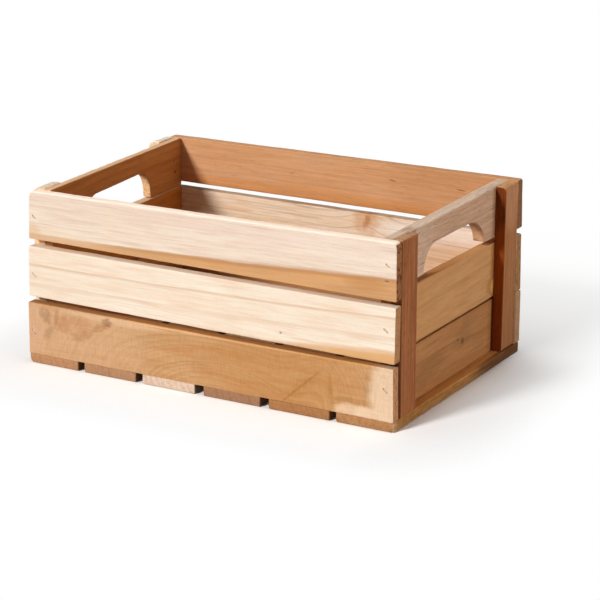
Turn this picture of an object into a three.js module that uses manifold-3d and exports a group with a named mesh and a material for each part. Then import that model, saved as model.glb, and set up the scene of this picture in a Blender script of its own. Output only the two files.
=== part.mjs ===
// Open slatted wooden crate: three slats in the front and back walls, three boards in each end,
// the upper one with a hand hole, a post outside each corner of the ends, and a base of six slats.
// Millimetres, +Z up, X along the length. The origin is on the ground under the middle of the crate.
import * as THREE from 'three';
import { mergeVertices } from 'three/addons/utils/BufferGeometryUtils.js';
import Module from 'manifold-3d';

// Overall size, over the outer faces of the boards
const CRATE_LENGTH = 300;
const CRATE_DEPTH = 200;

// Front and back walls
const WALL_SLAT_HEIGHT = 38;
const WALL_SLAT_THICKNESS = 8;
const WALL_SLAT_GAP = 5.5;

// Base, whose slats share the length evenly
const BASE_SLAT_COUNT = 6;
const BASE_SLAT_GAP = 6.6;
const BASE_SLAT_THICKNESS = 7;

// Corner posts
const POST_WIDTH = 22;
const POST_THICKNESS = 8;

// End boards: the lower two share the height that the upper one and the joints leave
const END_BOARD_THICKNESS = 7;
const UPPER_END_BOARD_HEIGHT = 36.5;
const LOWER_END_JOINT = 1;
const UPPER_END_JOINT = 3.5;

// Hand hole, cut up from the lower edge of the upper end board
const HAND_HOLE_WIDTH = 95;
const HAND_HOLE_RISE = 20;
const HAND_HOLE_ROUND = 18;

// Sanded edges and corners
const EDGE_EASING = 0.8;
const TOP_CORNER_ROUND = 6;
const BASE_CORNER_ROUND = 4;

// Narrow wire staples, set across the grain and driven just below the surface
const STAPLE_CROWN = 5;
const STAPLE_WIRE = 1;
const STAPLE_BITE = 4.5;
const STAPLE_SINK = 0.3;
const STAPLE_POINT = 1.2;
const STAPLE_TURN_DEGREES = -45;

// Clearances: a glue line between boards, and the crushed wood round a staple
const GLUE_LINE = 0.1;
const STAPLE_CLEARANCE = 0.3;

// Fineness of the round stretches, and the distance within which vertices are one
const ARC_STEPS = 6;
const WELD = 1e-4;

// The three tiers of boards, from the ground up
const TIERS = ['lower', 'middle', 'upper'];
const TOP_TIER = TIERS.length - 1;

// Levels and faces that the boards share
const WALL_FOOT = BASE_SLAT_THICKNESS + GLUE_LINE;
const WALL_HEIGHT = TIERS.length * WALL_SLAT_HEIGHT + TOP_TIER * WALL_SLAT_GAP;
const POST_OUTER_X = CRATE_LENGTH / 2;
const POST_INNER_X = POST_OUTER_X - POST_THICKNESS;
const END_OUTER_X = POST_INNER_X - GLUE_LINE;
const WALL_INNER_Y = CRATE_DEPTH / 2 - WALL_SLAT_THICKNESS;
const POST_FACE_Y = WALL_INNER_Y - GLUE_LINE;
const POST_MIDDLE_Y = POST_FACE_Y - POST_WIDTH / 2;
const END_BOARD_LENGTH = 2 * POST_FACE_Y;
const LOWER_END_BOARD_HEIGHT =
  (WALL_HEIGHT - UPPER_END_BOARD_HEIGHT - LOWER_END_JOINT - UPPER_END_JOINT) / TOP_TIER;
const BASE_SLAT_WIDTH = (CRATE_LENGTH - (BASE_SLAT_COUNT - 1) * BASE_SLAT_GAP) / BASE_SLAT_COUNT;

// Wood tones of the boards, by tier where each has its own, and the staple steel
const FRONT_TONES = [0xd3a873, 0xe6cba6, 0xe8d0b2];
const BACK_TONES = [0xb98a5c, 0xcfa27c, 0xc8925f];
const LEFT_END_TONES = [0xa36c40, 0xa7703f, 0xa4693e];
const RIGHT_END_TONES = [0xa98152, 0xb78d59, 0xb39a7e];
const POST_TONE = 0x9a6640;
const BASE_TONES = [0xb98a58, 0xbb8855, 0xd0a98a, 0xb07c4c, 0xb88350, 0xa87444];
const STEEL_TONE = 0x9a958c;

// Axes as unit vectors
const AXIS_X = new THREE.Vector3(1, 0, 0);
const AXIS_Y = new THREE.Vector3(0, 1, 0);
const AXIS_Z = new THREE.Vector3(0, 0, 1);

const wasm = await Module();
wasm.setup();

// Boolean solid of a closed geometry.
function toSolid(geometry) {
  const bare = geometry.clone();
  bare.deleteAttribute('normal');
  bare.deleteAttribute('uv');
  const welded = mergeVertices(bare, WELD);
  const mesh = new wasm.Mesh({
    numProp: 3,
    vertProperties: welded.attributes.position.array,
    triVerts: Uint32Array.from(welded.index.array),
  });
  return new wasm.Manifold(mesh);
}

// Geometry of a boolean solid.
function toGeometry(solid) {
  const mesh = solid.getMesh();
  const geometry = new THREE.BufferGeometry();
  geometry.setAttribute('position', new THREE.BufferAttribute(mesh.vertProperties, mesh.numProp));
  geometry.setIndex(new THREE.BufferAttribute(mesh.triVerts, 1));
  geometry.computeVertexNormals();
  return geometry;
}

function woodFinish(tone) {
  return new THREE.MeshStandardMaterial({ color: tone, roughness: 0.7, metalness: 0 });
}

function steelFinish() {
  return new THREE.MeshStandardMaterial({ color: STEEL_TONE, roughness: 0.4, metalness: 1 });
}

// Outline of a board, its foot on the shape's X axis, with a radius or 0 for each corner in turn:
// lower left, lower right, upper right, upper left.
function boardOutline(width, height, rounds) {
  const half = width / 2;
  const corners = [[-half, 0], [half, 0], [half, height], [-half, height]];
  const shape = new THREE.Shape();
  corners.forEach(([x, y], corner) => {
    const radius = rounds[corner];
    const centreX = x < 0 ? x + radius : x - radius;
    const centreY = y > 0 ? y - radius : y + radius;
    const start = Math.PI * (1 + corner / 2);
    if (radius > 0) {
      shape.absarc(centreX, centreY, radius, start, start + Math.PI / 2);
    } else if (corner === 0) {
      shape.moveTo(x, y);
    } else {
      shape.lineTo(x, y);
    }
  });
  shape.closePath();
  return shape;
}

// Outline of the upper end board, with the hand hole open at its lower edge.
function handHoleOutline(length, height) {
  const half = length / 2;
  const holeHalf = HAND_HOLE_WIDTH / 2;
  const round = Math.min(HAND_HOLE_ROUND, HAND_HOLE_RISE - 2 * EDGE_EASING, holeHalf - EDGE_EASING);
  const spring = HAND_HOLE_RISE - round;
  const shape = new THREE.Shape();
  shape.moveTo(-half, 0);
  shape.lineTo(-holeHalf, 0);
  shape.absarc(-holeHalf + round, spring, round, Math.PI, Math.PI / 2, true);
  shape.absarc(holeHalf - round, spring, round, Math.PI / 2, 0, true);
  shape.lineTo(holeHalf, 0);
  shape.lineTo(half, 0);
  shape.lineTo(half, height);
  shape.lineTo(-half, height);
  shape.closePath();
  return shape;
}

// Board of an outline, centred through its thickness, with its edges eased on both faces.
function easedBoard(outline, thickness) {
  const geometry = new THREE.ExtrudeGeometry(outline, {
    depth: thickness - 2 * EDGE_EASING,
    bevelThickness: EDGE_EASING,
    bevelSize: EDGE_EASING,
    bevelOffset: -EDGE_EASING,
    bevelSegments: 1,
    curveSegments: ARC_STEPS,
  });
  return geometry.translate(0, 0, EDGE_EASING - thickness / 2);
}

// Stands a board up facing front and back, its outline read from the front.
function faceFront(geometry) {
  const turn = new THREE.Matrix4().makeBasis(AXIS_X, AXIS_Z, AXIS_Y.clone().negate());
  return geometry.applyMatrix4(turn);
}

// Stands a board up facing the ends, its outline read from the right-hand end.
function faceEnd(geometry) {
  const turn = new THREE.Matrix4().makeBasis(AXIS_Y, AXIS_Z, AXIS_X);
  return geometry.applyMatrix4(turn);
}

// Staple with its crown along X at the origin and its pointed legs down -Z, grown by a clearance all round.
function stapleGeometry(legLength, clearance) {
  const half = STAPLE_CROWN / 2 + clearance;
  const innerHalf = STAPLE_CROWN / 2 - STAPLE_WIRE - clearance;
  const tip = -legLength - clearance;
  const shoulder = tip + STAPLE_POINT;
  const innerTop = -STAPLE_WIRE - clearance;
  const shape = new THREE.Shape();
  shape.moveTo(-half, clearance);
  shape.lineTo(-half, shoulder);
  shape.lineTo(-innerHalf, tip);
  shape.lineTo(-innerHalf, innerTop);
  shape.lineTo(innerHalf, innerTop);
  shape.lineTo(innerHalf, tip);
  shape.lineTo(half, shoulder);
  shape.lineTo(half, clearance);
  shape.closePath();
  const width = STAPLE_WIRE + 2 * clearance;
  const geometry = new THREE.ExtrudeGeometry(shape, { depth: width, bevelEnabled: false });
  return faceFront(geometry.translate(0, 0, -width / 2));
}

// Slot that a staple leaves in the wood: its own shape with the clearance, open up to the surface.
function stapleSlot(staple) {
  const slot = stapleGeometry(staple.userData.legLength, STAPLE_CLEARANCE);
  const mouthWidth = STAPLE_WIRE + 2 * STAPLE_CLEARANCE;
  const mouthDepth = STAPLE_SINK + STAPLE_CLEARANCE;
  const mouth = new THREE.BoxGeometry(STAPLE_CROWN + 2 * STAPLE_CLEARANCE, mouthWidth, 2 * mouthDepth);
  const solid = toSolid(slot).add(toSolid(mouth));
  return toSolid(toGeometry(solid).applyMatrix4(staple.matrix));
}

// Staple whose crown lies below a point of a board's face, driven along a direction through that board.
function makeStaple(name, facePoint, drive, boardThickness) {
  const legLength = boardThickness - STAPLE_SINK + STAPLE_BITE;
  const staple = new THREE.Mesh(stapleGeometry(legLength, 0), steelFinish());
  const turn = new THREE.Quaternion().setFromAxisAngle(AXIS_Z, THREE.MathUtils.degToRad(STAPLE_TURN_DEGREES));
  staple.name = name;
  staple.userData.legLength = legLength;
  staple.position.copy(facePoint).addScaledVector(drive, STAPLE_SINK);
  staple.quaternion.setFromUnitVectors(AXIS_Z.clone().negate(), drive).multiply(turn);
  staple.updateMatrix();
  return staple;
}

// Wooden piece at a place, with slots for the staples that reach into it.
function makeBoard(name, geometry, place, tone, staples) {
  const box = new THREE.Box3().setFromBufferAttribute(geometry.attributes.position).translate(place);
  const reaching = staples.filter((staple) => new THREE.Box3().setFromObject(staple).intersectsBox(box));
  let solid = toSolid(geometry.translate(place.x, place.y, place.z));
  reaching.forEach((staple) => {
    solid = solid.subtract(stapleSlot(staple));
  });
  const board = new THREE.Mesh(toGeometry(solid).translate(-place.x, -place.y, -place.z), woodFinish(tone));
  board.name = name;
  board.position.copy(place);
  return board;
}

// Foot levels and heights of the three slats in a long wall.
function wallTiers() {
  return TIERS.map((tier, index) => ({
    tier,
    foot: WALL_FOOT + index * (WALL_SLAT_HEIGHT + WALL_SLAT_GAP),
    height: WALL_SLAT_HEIGHT,
  }));
}

// Foot levels and heights of the three boards in an end.
function endTiers() {
  const middleFoot = WALL_FOOT + LOWER_END_BOARD_HEIGHT + LOWER_END_JOINT;
  const upperFoot = middleFoot + LOWER_END_BOARD_HEIGHT + UPPER_END_JOINT;
  return [
    { tier: TIERS[0], foot: WALL_FOOT, height: LOWER_END_BOARD_HEIGHT },
    { tier: TIERS[1], foot: middleFoot, height: LOWER_END_BOARD_HEIGHT },
    { tier: TIERS[2], foot: upperFoot, height: UPPER_END_BOARD_HEIGHT },
  ];
}

// Middle of each base slat along the length.
function baseSlatMiddles() {
  const first = (BASE_SLAT_WIDTH - CRATE_LENGTH) / 2;
  const pitch = BASE_SLAT_WIDTH + BASE_SLAT_GAP;
  return Array.from({ length: BASE_SLAT_COUNT }, (unused, index) => first + index * pitch);
}

// The long walls and ends, by name, with the side of the middle that each is on.
const WALLS = [
  { wall: 'front', side: -1, tones: FRONT_TONES },
  { wall: 'back', side: 1, tones: BACK_TONES },
];
const ENDS = [
  { end: 'left', side: -1, tones: LEFT_END_TONES },
  { end: 'right', side: 1, tones: RIGHT_END_TONES },
];

// Staples through the ends of the wall slats into the edges of the posts.
function wallStaples() {
  const x = POST_OUTER_X - POST_THICKNESS / 2;
  return WALLS.flatMap(({ wall, side }) => ENDS.flatMap((end) => wallTiers().map(({ tier, foot, height }) => {
    const facePoint = new THREE.Vector3(end.side * x, side * CRATE_DEPTH / 2, foot + height / 2);
    const drive = AXIS_Y.clone().multiplyScalar(-side);
    return makeStaple(`${wall}_${tier}_staple_${end.end}`, facePoint, drive, WALL_SLAT_THICKNESS);
  })));
}

// Staples from inside the crate through the end boards into the posts.
function endStaples() {
  const x = END_OUTER_X - END_BOARD_THICKNESS;
  return ENDS.flatMap(({ end, side }) => WALLS.flatMap((wall) => endTiers().map(({ tier, foot, height }) => {
    const facePoint = new THREE.Vector3(side * x, wall.side * POST_MIDDLE_Y, foot + height / 2);
    const drive = AXIS_X.clone().multiplyScalar(side);
    return makeStaple(`${end}_end_${tier}_staple_${wall.wall}`, facePoint, drive, END_BOARD_THICKNESS);
  })));
}

// Staples up through the base slats into the lower wall slats.
function baseStaples() {
  const y = CRATE_DEPTH / 2 - WALL_SLAT_THICKNESS / 2;
  return baseSlatMiddles().flatMap((x, index) => WALLS.map(({ wall, side }) => {
    const facePoint = new THREE.Vector3(x, side * y, 0);
    return makeStaple(`base_${index + 1}_staple_${wall}`, facePoint, AXIS_Z, BASE_SLAT_THICKNESS);
  }));
}

// One long wall: three slats whose ends cover the posts, the upper one with rounded outer corners.
function makeWall({ wall, side, tones }, staples) {
  const group = new THREE.Group();
  wallTiers().forEach(({ tier, foot, height }, index) => {
    const round = index === TOP_TIER ? TOP_CORNER_ROUND : 0;
    const outline = boardOutline(CRATE_LENGTH, height, [0, 0, round, round]);
    const slat = faceFront(easedBoard(outline, WALL_SLAT_THICKNESS));
    const place = new THREE.Vector3(0, side * (CRATE_DEPTH - WALL_SLAT_THICKNESS) / 2, foot);
    group.add(makeBoard(`${wall}_slat_${tier}`, slat, place, tones[index], staples));
  });
  return group;
}

// One end: three boards between the long walls, with a post outside them at each corner.
function makeEnd({ end, side, tones }, staples) {
  const group = new THREE.Group();
  endTiers().forEach(({ tier, foot, height }, index) => {
    const plain = boardOutline(END_BOARD_LENGTH, height, [0, 0, 0, 0]);
    const outline = index === TOP_TIER ? handHoleOutline(END_BOARD_LENGTH, height) : plain;
    const board = faceEnd(easedBoard(outline, END_BOARD_THICKNESS));
    const place = new THREE.Vector3(side * (END_OUTER_X - END_BOARD_THICKNESS / 2), 0, foot);
    group.add(makeBoard(`${end}_end_board_${tier}`, board, place, tones[index], staples));
  });
  const round = Math.min(TOP_CORNER_ROUND, POST_THICKNESS - EDGE_EASING);
  const rounds = side > 0 ? [0, 0, round, 0] : [0, 0, 0, round];
  const postX = side * (POST_OUTER_X - POST_THICKNESS / 2);
  WALLS.forEach((wall) => {
    const post = faceFront(easedBoard(boardOutline(POST_THICKNESS, WALL_HEIGHT, rounds), POST_WIDTH));
    const place = new THREE.Vector3(postX, wall.side * POST_MIDDLE_Y, WALL_FOOT);
    group.add(makeBoard(`${wall.wall}_${end}_post`, post, place, POST_TONE, staples));
  });
  return group;
}

// The base: slats running front to back under the walls, rounded at their lower ends.
function makeBase(staples) {
  const group = new THREE.Group();
  const round = Math.min(BASE_CORNER_ROUND, BASE_SLAT_THICKNESS - EDGE_EASING);
  baseSlatMiddles().forEach((x, index) => {
    const outline = boardOutline(CRATE_DEPTH, BASE_SLAT_THICKNESS, [round, round, 0, 0]);
    const slat = faceEnd(easedBoard(outline, BASE_SLAT_WIDTH));
    const tone = BASE_TONES[index % BASE_TONES.length];
    group.add(makeBoard(`base_slat_${index + 1}`, slat, new THREE.Vector3(x, 0, 0), tone, staples));
  });
  return group;
}

function makeCrate() {
  const staples = [...wallStaples(), ...endStaples(), ...baseStaples()];
  const crate = new THREE.Group();
  WALLS.forEach((wall) => crate.add(makeWall(wall, staples)));
  ENDS.forEach((end) => crate.add(makeEnd(end, staples)));
  crate.add(makeBase(staples));
  crate.add(...staples);
  return crate;
}

export default makeCrate();
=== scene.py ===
"""Looks of a slatted wooden crate: sawn and sanded boards, wire staples and a white studio."""

import logging
import math
from dataclasses import dataclass, replace
from enum import Enum, IntEnum
from typing import ClassVar, Optional, Union

import bmesh
import bpy
import numpy as np
from mathutils import Matrix, Vector, noise
from mathutils.geometry import delaunay_2d_cdt


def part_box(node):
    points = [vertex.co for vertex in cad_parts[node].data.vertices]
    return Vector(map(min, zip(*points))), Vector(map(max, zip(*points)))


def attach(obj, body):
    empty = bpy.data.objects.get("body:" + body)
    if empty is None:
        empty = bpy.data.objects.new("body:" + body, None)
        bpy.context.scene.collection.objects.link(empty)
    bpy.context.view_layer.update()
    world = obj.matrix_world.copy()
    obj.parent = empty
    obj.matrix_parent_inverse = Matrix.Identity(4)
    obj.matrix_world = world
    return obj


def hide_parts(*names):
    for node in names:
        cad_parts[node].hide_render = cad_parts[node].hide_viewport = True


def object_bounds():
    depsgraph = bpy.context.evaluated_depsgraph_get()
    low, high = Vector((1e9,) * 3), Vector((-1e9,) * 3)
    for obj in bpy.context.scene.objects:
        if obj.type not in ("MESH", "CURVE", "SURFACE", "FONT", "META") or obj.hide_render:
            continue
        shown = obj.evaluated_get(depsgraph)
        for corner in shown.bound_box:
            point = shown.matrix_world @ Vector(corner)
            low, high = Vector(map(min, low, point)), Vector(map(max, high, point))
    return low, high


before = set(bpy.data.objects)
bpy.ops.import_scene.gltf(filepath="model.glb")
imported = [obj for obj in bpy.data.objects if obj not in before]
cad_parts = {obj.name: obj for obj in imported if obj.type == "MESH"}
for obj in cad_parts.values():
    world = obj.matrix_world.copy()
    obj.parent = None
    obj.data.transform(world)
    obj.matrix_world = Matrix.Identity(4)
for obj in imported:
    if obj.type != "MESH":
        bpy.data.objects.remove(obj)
cad_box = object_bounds()

LOGGER = logging.getLogger("crate")
MM = 0.001
SAW_SEED = 7
WHITE = (1.0, 1.0, 1.0, 1.0)
SRGB_KNEE = 0.04045
SRGB_SLOPE = 12.92
SRGB_LIFT = 0.055
SRGB_POWER = 2.4

Number = Union[float, "Value"]
Colour = tuple[float, float, float, float]
Pair = tuple[float, float]
Three = tuple[float, float, float]
Four = tuple[float, float, float, float]


class Wall(Enum):
    """Long walls of the crate."""

    FRONT = "front"
    BACK = "back"


class Side(Enum):
    """Short ends of the crate."""

    LEFT = "left"
    RIGHT = "right"


class Tier(Enum):
    """Rows of boards, from the ground up."""

    LOWER = "lower"
    MIDDLE = "middle"
    UPPER = "upper"


class Face(IntEnum):
    """Faces of a board, by the way they look through its thickness."""

    FRONT = 1
    BACK = -1


class Facing(Enum):
    """World directions of a board's length, width and face."""

    WALL = ((1, 0, 0), (0, 0, 1), (0, -1, 0))
    END = ((0, 1, 0), (0, 0, 1), (1, 0, 0))
    LEFT_POST = ((0, 0, 1), (0, 1, 0), (-1, 0, 0))
    RIGHT_POST = ((0, 0, 1), (0, -1, 0), (1, 0, 0))
    BASE = ((0, 1, 0), (-1, 0, 0), (0, 0, 1))


def tone(code: str) -> Colour:
    """Turns an sRGB code into a linear colour.

    Args:
        code: Red, green and blue as six hexadecimal digits.

    Returns:
        The colour in linear light, with full alpha.
    """
    shares = [int(code[place:place + 2], 16) / 255 for place in (0, 2, 4)]
    red, green, blue = (
        share / SRGB_SLOPE if share <= SRGB_KNEE else ((share + SRGB_LIFT) / (1 + SRGB_LIFT)) ** SRGB_POWER
        for share in shares)
    return (red, green, blue, 1.0)


class Value:
    """A shader socket on which Python operators add Math nodes."""

    def __init__(self, bench: "ShaderBench", socket: bpy.types.NodeSocket) -> None:
        """Keeps the socket and the bench that its tree belongs to."""
        self.bench = bench
        self.socket = socket

    def output(self, name: str) -> "Value":
        """Another output of the same node."""
        return Value(self.bench, self.socket.node.outputs[name])

    def __add__(self, other: Number) -> "Value":
        """Sum."""
        return self.bench.math("ADD", self, other)

    __radd__ = __add__

    def __sub__(self, other: Number) -> "Value":
        """Difference."""
        return self.bench.math("SUBTRACT", self, other)

    def __rsub__(self, other: Number) -> "Value":
        """Difference with the number first."""
        return self.bench.math("SUBTRACT", other, self)

    def __mul__(self, other: Number) -> "Value":
        """Product."""
        return self.bench.math("MULTIPLY", self, other)

    def __truediv__(self, other: Number) -> "Value":
        """Quotient."""
        return self.bench.math("DIVIDE", self, other)

    def __abs__(self) -> "Value":
        """Size without sign."""
        return self.bench.math("ABSOLUTE", self)

    def step(self, start: float, end: float) -> "Value":
        """Smooth step from 0 at start to 1 at end, where start may be the larger.

        Args:
            start: Value at which the step is 0.
            end: Value at which the step is 1.

        Returns:
            The step, from 0 to 1.
        """
        low, high = min(start, end), max(start, end)
        span = {"Value": self, "From Min": low, "From Max": high}
        rise = self.bench.node("ShaderNodeMapRange", {"interpolation_type": "SMOOTHSTEP"}, span)
        return rise if start < end else 1.0 - rise


class ShaderBench:
    """A node tree with one method that adds any node to it.

    NOISE_GAIN and NOISE_MIDDLE bring a noise to about -1 to 1. SEED_PACE is how fast the three axes of a
    noise move with its seed.
    """

    NOISE_GAIN = 4.0
    NOISE_MIDDLE = 0.5
    SEED_PACE = (1.0, 0.71, 1.37)

    def __init__(self, tree: bpy.types.NodeTree) -> None:
        """Takes a tree and clears it."""
        self.tree = tree
        tree.nodes.clear()

    def node(self, kind: str, settings: Optional[dict] = None, sockets: Optional[dict] = None,
             output: Union[int, str] = 0) -> Value:
        """Adds a node.

        Args:
            kind: Blender's name for the node's type.
            settings: Properties of the node, set first.
            sockets: Numbers, colours or Values for its inputs, by name or place.
            output: Output that is handed back.

        Returns:
            The chosen output.
        """
        made = self.tree.nodes.new(kind)
        for name, setting in (settings or {}).items():
            setattr(made, name, setting)
        for key, content in (sockets or {}).items():
            if isinstance(content, Value):
                self.tree.links.new(content.socket, made.inputs[key])
            else:
                made.inputs[key].default_value = content
        return Value(self, made.outputs[output] if len(made.outputs) else None)

    def math(self, operation: str, *operands: Number) -> Value:
        """Adds a Math node.

        Args:
            operation: Blender's name for the operation.
            operands: Numbers or Values, in order.

        Returns:
            The result.
        """
        return self.node("ShaderNodeMath", {"operation": operation}, dict(enumerate(operands)))

    def vector(self, operation: str, *operands: Union[Value, tuple]) -> Value:
        """Adds a Vector Math node.

        Args:
            operation: Blender's name for the operation.
            operands: Vectors, in order.

        Returns:
            The resulting vector.
        """
        return self.node("ShaderNodeVectorMath", {"operation": operation}, dict(enumerate(operands)))

    def shaded(self, colour: Union[Value, Colour], factor: Number) -> Value:
        """A colour made lighter or darker by a factor."""
        tint = colour if isinstance(colour, Value) else colour[:3]
        return self.node("ShaderNodeVectorMath", {"operation": "SCALE"}, {0: tint, "Scale": factor})

    def mix(self, first: Union[Value, Colour], second: Union[Value, Colour], share: Number) -> Value:
        """Mixes two colours.

        Args:
            first: Colour where the share is 0.
            second: Colour where the share is 1.
            share: How much of the second colour shows.

        Returns:
            The mixed colour.
        """
        return self.node("ShaderNodeMix", {"data_type": "RGBA"}, {0: share, 6: first, 7: second}, 2)

    def cloud(self, point: Value, fleck: "Fleck", seed: float) -> Value:
        """Noise of about -1 to 1.

        Args:
            point: Place in millimetres.
            fleck: Shape of the noise.
            seed: Place in the noise, which makes each piece its own.

        Returns:
            The noise.
        """
        scale = (1 / fleck.along, 1 / fleck.across, 1 / fleck.across)
        start = tuple((seed + fleck.offset) * pace for pace in self.SEED_PACE)
        place = self.vector("MULTIPLY_ADD", point, scale, start)
        return self._noise({}, {"Vector": place, "Detail": fleck.detail})

    def drift(self, place: Value, seed: float) -> Value:
        """Noise of about -1 to 1 along a line.

        Args:
            place: Place on the line, in waves.
            seed: Place in the noise.

        Returns:
            The noise.
        """
        return self._noise({"noise_dimensions": "1D"}, {"W": place + seed, "Detail": 1.0})

    def _noise(self, settings: dict, sockets: dict) -> Value:
        """Adds a Noise Texture node.

        Args:
            settings: Properties of the node.
            sockets: Its place and detail.

        Returns:
            The noise, of about -1 to 1.
        """
        made = self.node("ShaderNodeTexNoise", settings, {"Scale": 1.0, **sockets})
        return self.math("MULTIPLY_ADD", made, self.NOISE_GAIN, -self.NOISE_GAIN * self.NOISE_MIDDLE)

    def millimetres(self, place: Value) -> Value:
        """A place in metres, given in millimetres."""
        return self.vector("MULTIPLY", place, (1 / MM, 1 / MM, 1 / MM))


def new_material(name: str) -> tuple[bpy.types.Material, ShaderBench]:
    """Starts a material.

    Args:
        name: Name of the material.

    Returns:
        The material, and the bench of its empty tree.
    """
    made = bpy.data.materials.new(name)
    made.use_nodes = True
    return made, ShaderBench(made.node_tree)


def new_mesh(made: bmesh.types.BMesh, name: str, crease: float = 30.0) -> bpy.types.Mesh:
    """Turns a bmesh into a smooth mesh and frees it.

    Args:
        made: The bmesh.
        name: Name of the mesh.
        crease: Angle in degrees above which an edge stays sharp.

    Returns:
        The mesh.
    """
    mesh = bpy.data.meshes.new(name)
    made.to_mesh(mesh)
    made.free()
    mesh.shade_smooth()
    mesh.set_sharp_from_angle(angle=math.radians(crease))
    return mesh


def new_object(name: str, data: bpy.types.ID) -> bpy.types.Object:
    """Adds an object to the scene.

    Args:
        name: Name of the object.
        data: Its mesh, camera or light.

    Returns:
        The object.
    """
    made = bpy.data.objects.new(name, data)
    bpy.context.scene.collection.objects.link(made)
    return made


@dataclass(frozen=True)
class Fleck:
    """Noise stretched along the grain: the size of one fleck in millimetres and its place in the noise.

    span gives the values of the noise between which a fleck comes out, from 0 to 1.
    """

    along: float
    across: float
    offset: float
    detail: float = 2.0
    span: Pair = (-1.0, 1.0)


@dataclass(frozen=True)
class Log:
    """Where a board lay in its tree, in millimetres from the board's middle.

    The rings lie round a pith at (across, through), which climbs across the face by lean and bend along
    the board and dives through it. wander is how far the rings stray, and ring is their spacing.
    """

    across: float
    through: float = 0.0
    lean: float = 0.0
    bend: float = 0.0
    dive: float = 0.0
    ring: float = 6.0
    wander: float = 1.0


@dataclass(frozen=True)
class Patch:
    """A stain, knot, pale place, painted shade or painted light on a board, in millimetres from the board's
    middle.

    It is an ellipse with two reaches and a turn in degrees. softness is the width of its edge, and ragged
    how far the edge is frayed. FRAY is the length and width of the noise that frays it, in reaches, and
    FRAY_PACE how fast the place in that noise moves along the board.
    """

    FRAY: ClassVar[Pair] = (0.8, 0.6)
    FRAY_PACE: ClassVar[float] = 0.37
    FRAY_DETAIL: ClassVar[float] = 3.0
    along: float
    across: float
    reach_along: float
    reach_across: float
    tone: str
    strength: float = 0.5
    softness: float = 0.5
    turn: float = 0.0
    ragged: float = 0.35

    def fray(self) -> Fleck:
        """Noise that frays the edge."""
        long, wide = self.reach_along * self.FRAY[0], self.reach_across * self.FRAY[1]
        return Fleck(long, wide, self.along * self.FRAY_PACE, self.FRAY_DETAIL)


@dataclass(frozen=True)
class Swirl:
    """A place where the rings are lifted, as round a knot, in millimetres."""

    along: float
    across: float
    reach_along: float
    reach_across: float
    lift: float


@dataclass(frozen=True)
class Wood:
    """Finish of one board: the tones of its wood and how it was cut from the log.

    Tones are sRGB codes. ground, blush and tint are mixed in clouds, line is the growth lines' tone, and
    heart is the tone on the pith's side of heart_edge, which is measured across the face. end is the tone
    of the sawn ends. line_start is the share of a ring after which its dark line begins. streaks, pores
    and end_pores are shares of the streak and pore tones. fibre, pale and chatter vary the tone. The side
    shading is painted shade on the long sides, such as tops in the shade of the board above and the sides
    in a gap, and above 1 it is painted light on a lit top. worn is the shade of the rubbed edges.
    """

    ground: str
    blush: str
    line: str
    log: Log
    seed: float
    tint: str = ""
    heart: str = ""
    heart_edge: float = 0.0
    heart_softness: float = 0.8
    line_strength: float = 0.5
    line_start: float = 0.3
    fibre: float = 0.08
    streak: str = ""
    streaks: float = 0.25
    streak_length: float = 42.0
    pale: float = 0.06
    pore: str = "6B4024"
    pores: float = 0.25
    chatter: float = 0.0
    end: str = "B98556"
    end_pores: float = 0.35
    # Painted shade on the long sides, such as tops under another board; above 1, painted light.
    painted_side_shading: float = 1.0
    worn: float = 0.94
    patches: tuple[Patch, ...] = ()
    swirls: tuple[Swirl, ...] = ()


POST_LOG = Log(-60.0, 20.0, ring=5.0, wander=1.5)


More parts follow.
